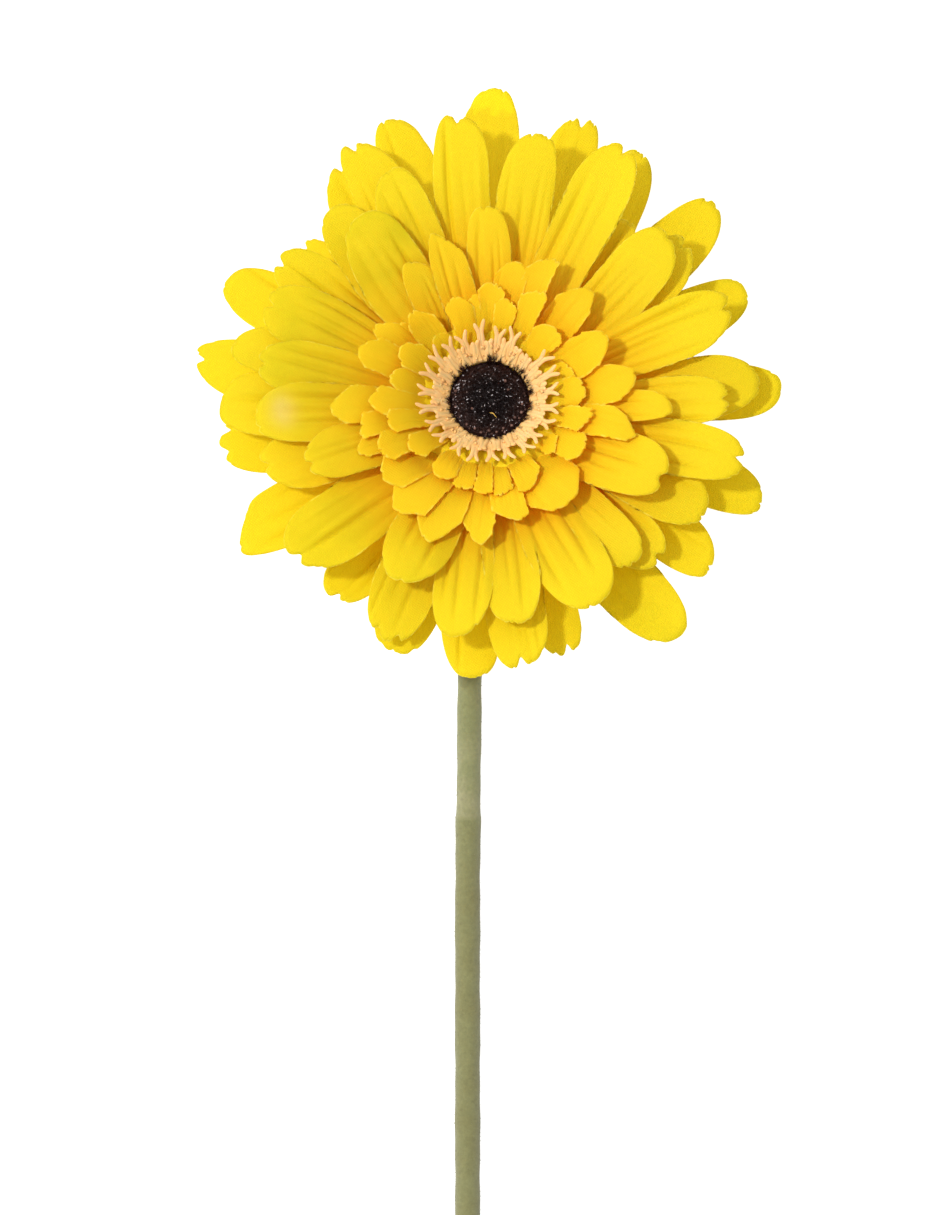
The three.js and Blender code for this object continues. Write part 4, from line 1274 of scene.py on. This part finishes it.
class GERBERA_OT_stem(bpy.types.Operator):
    """Makes the flocked stem and its cut end"""

    bl_idname = "gerbera.stem"
    bl_label = "Stem"

    def execute(self, context):
        settings = context.scene.gerbera_stem
        flock = stem_material(settings)
        points, outward = stem_surface(420, 48)
        add_closed("stem_body", points[None], "stem", flock)
        rng = np.random.default_rng(5)
        count = settings.fibres
        row = rng.integers(8, points.shape[0] - 1, count)
        col = rng.integers(0, points.shape[1], count)
        out = outward[row, col]
        base = points[row, col] + rng.normal(0, 0.12, (count, 3)) - out * 0.05
        heading = out + rng.normal(0, 0.45, (count, 3))
        length = settings.length / MM * rng.uniform(0.5, 1.1, count)
        hairs = flecks(base, heading, length, np.full(count, 0.035))
        hairs[..., 2] = np.maximum(hairs[..., 2], 0.0)
        add_closed("stem_fibres", hairs, "stem", flock)
        return {"FINISHED"}


# ---- stage -------------------------------------------------------------------------------------

KEY_AWAY, KEY_SIZE = (-0.82, 0.33, 1.95), 0.14  # metres from the head, and the light's side
SIDE_AWAY, SIDE_SIZE = (-1.4, 0.75, 1.5), 2.0
BRIGHT_SIDE = (-0.8, 0.35, 0.5)  # from where the light all round is strongest
SEEN_HEIGHT = 243.0  # of what the camera's frame holds at the head's top
CAMERA_ASIDE = (-3.9, -41.8)  # of the camera, from the middle of the disc


class StageSettings(bpy.types.PropertyGroup):
    """The camera and lights round the flower."""

    camera_height: FloatProperty(
        name="Camera height", description="Height of the camera over the table",
        default=2.5, min=1.0, max=5.0, unit="LENGTH",
    )
    key: FloatProperty(
        name="Key light", description="Power of the key light", default=32.0, min=0.0, unit="POWER"
    )
    side: FloatProperty(
        name="Side light", description="Power of the broad light at the left",
        default=6.0, min=0.0, unit="POWER",
    )
    fill: FloatProperty(
        name="Fill light", description="Strength of the light from all round", default=0.73, min=0.0
    )


class GERBERA_OT_stage(bpy.types.Operator):
    """Makes the floor, the lights and the camera"""

    bl_idname = "gerbera.stage"
    bl_label = "Stage"

    def execute(self, context):
        settings = context.scene.gerbera_stage
        head = Vector((ORIGIN[0] * MM, ORIGIN[1] * MM, HEAD_HEIGHT * MM))
        self.floor()
        self.world(settings)
        self.light("Key", head, Vector(KEY_AWAY), KEY_SIZE, settings.key)
        self.light("Side", head, Vector(SIDE_AWAY), SIDE_SIZE, settings.side)
        self.camera(context, settings)
        context.scene.view_settings.view_transform = "Standard"
        return {"FINISHED"}

    def floor(self):
        """A plain pale floor, which glows a little, as a light table does."""
        mesh = bpy.data.meshes.new("floor")
        size = 4.0
        corners = [(-size, -size, 0), (size, -size, 0), (size, size, 0), (-size, size, 0)]
        mesh.from_pydata(corners, [], [(0, 1, 2, 3)])
        material, tree, out, place = new_material("floor_white")
        shade = scaled(tree, noise(tree, place, 0.4), 0.3, 0.7, 0.42, 0.43)
        colour = new_node(tree, "ShaderNodeCombineColor", {0: shade, 1: shade, 2: shade}).outputs[0]
        sockets = {
            "Base Color": colour, "Roughness": 0.9, "Specular IOR Level": 0.1,
            "Emission Color": (1, 1, 1, 1), "Emission Strength": 0.92,
        }
        give_finish(tree, out, sockets)
        mesh.materials.append(material)
        floor = new_object("floor", mesh)

    def world(self, settings):
        """White light from all round, which grows evenly from the lower right to the upper left:
        its strength is the mean one times one plus half the cosine of the angle from there."""
        world = bpy.data.worlds.new("studio")
        bpy.context.scene.world = world
        world.use_nodes = True
        tree = world.node_tree
        tree.nodes.clear()
        heading = new_node(tree, "ShaderNodeTexCoord").outputs["Generated"]
        sockets = {0: heading, 1: tuple(Vector(BRIGHT_SIDE).normalized())}
        across = new_node(tree, "ShaderNodeVectorMath", sockets, operation="DOT_PRODUCT")
        cosine = across.outputs["Value"]
        strength = scaled(tree, cosine, -1.0, 1.0, 0.5 * settings.fill, 1.5 * settings.fill)
        sockets = {"Color": (1.0, 1.0, 1.0, 1.0), "Strength": strength}
        back = new_node(tree, "ShaderNodeBackground", sockets)
        out = new_node(tree, "ShaderNodeOutputWorld")
        tree.links.new(back.outputs[0], out.inputs["Surface"])

    def light(self, name, target, away, size, power):
        """A square light at a place away from its target, turned to it."""
        data = bpy.data.lights.new(name, "AREA")
        data.size = size
        data.energy = power
        lamp = new_object(name, data)
        lamp.location = target + away
        lamp.rotation_euler = (-away).to_track_quat("-Z", "Y").to_euler()
        lamp.visible_camera = False

    def camera(self, context, settings):
        """The camera looks straight down, with the head's middle right of and over its own."""
        data = bpy.data.cameras.new("camera")
        head_top = HEAD_HEIGHT + 11
        data.lens = data.sensor_width * (settings.camera_height / MM - head_top) / SEEN_HEIGHT
        data.clip_end = 50
        camera = new_object("camera", data)
        x, y = (ORIGIN[:2] + CAMERA_ASIDE) * MM
        camera.location = (x, y, settings.camera_height)
        context.scene.camera = camera


# ---- add-on ------------------------------------------------------------------------------------


class GERBERA_PT_panel(bpy.types.Panel):
    """Lists the flower's pieces, with their sizes and colours"""

    bl_label = "Cut Gerbera"
    bl_idname = "GERBERA_PT_panel"
    bl_space_type = "VIEW_3D"
    bl_region_type = "UI"
    bl_category = "Gerbera"

    def draw(self, context):
        for operator, group in ORDER:
            box = self.layout.box()
            box.operator(operator)
            if group:
                settings = getattr(context.scene, group)
                for name in settings.bl_rna.properties.keys():
                    if name not in ("rna_type", "name"):
                        box.prop(settings, name)


ORDER = [
    ("gerbera.petals", "gerbera_petals"),
    ("gerbera.receptacle", None),
    ("gerbera.disc", "gerbera_disc"),
    ("gerbera.collar", "gerbera_collar"),
    ("gerbera.calyx", "gerbera_calyx"),
    ("gerbera.stem", "gerbera_stem"),
    ("gerbera.stage", "gerbera_stage"),
]

GROUPS = {
    "gerbera_petals": PetalSettings,
    "gerbera_disc": DiscSettings,
    "gerbera_collar": CollarSettings,
    "gerbera_calyx": CalyxSettings,
    "gerbera_stem": StemSettings,
    "gerbera_stage": StageSettings,
}

CLASSES = (
    *GROUPS.values(),
    GERBERA_OT_petals,
    GERBERA_OT_receptacle,
    GERBERA_OT_disc,
    GERBERA_OT_collar,
    GERBERA_OT_calyx,
    GERBERA_OT_stem,
    GERBERA_OT_stage,
    GERBERA_PT_panel,
)


def register():
    for item in CLASSES:
        bpy.utils.register_class(item)
    for name, group in GROUPS.items():
        setattr(bpy.types.Scene, name, PointerProperty(type=group))


def unregister():
    for name in GROUPS:
        delattr(bpy.types.Scene, name)
    for item in reversed(CLASSES):
        bpy.utils.unregister_class(item)


def main():
    """Makes every piece and the stage."""
    register()
    for operator, _ in ORDER:
        section, name = operator.split(".")
        getattr(getattr(bpy.ops, section), name)()


if __name__ == "__main__":
    main()
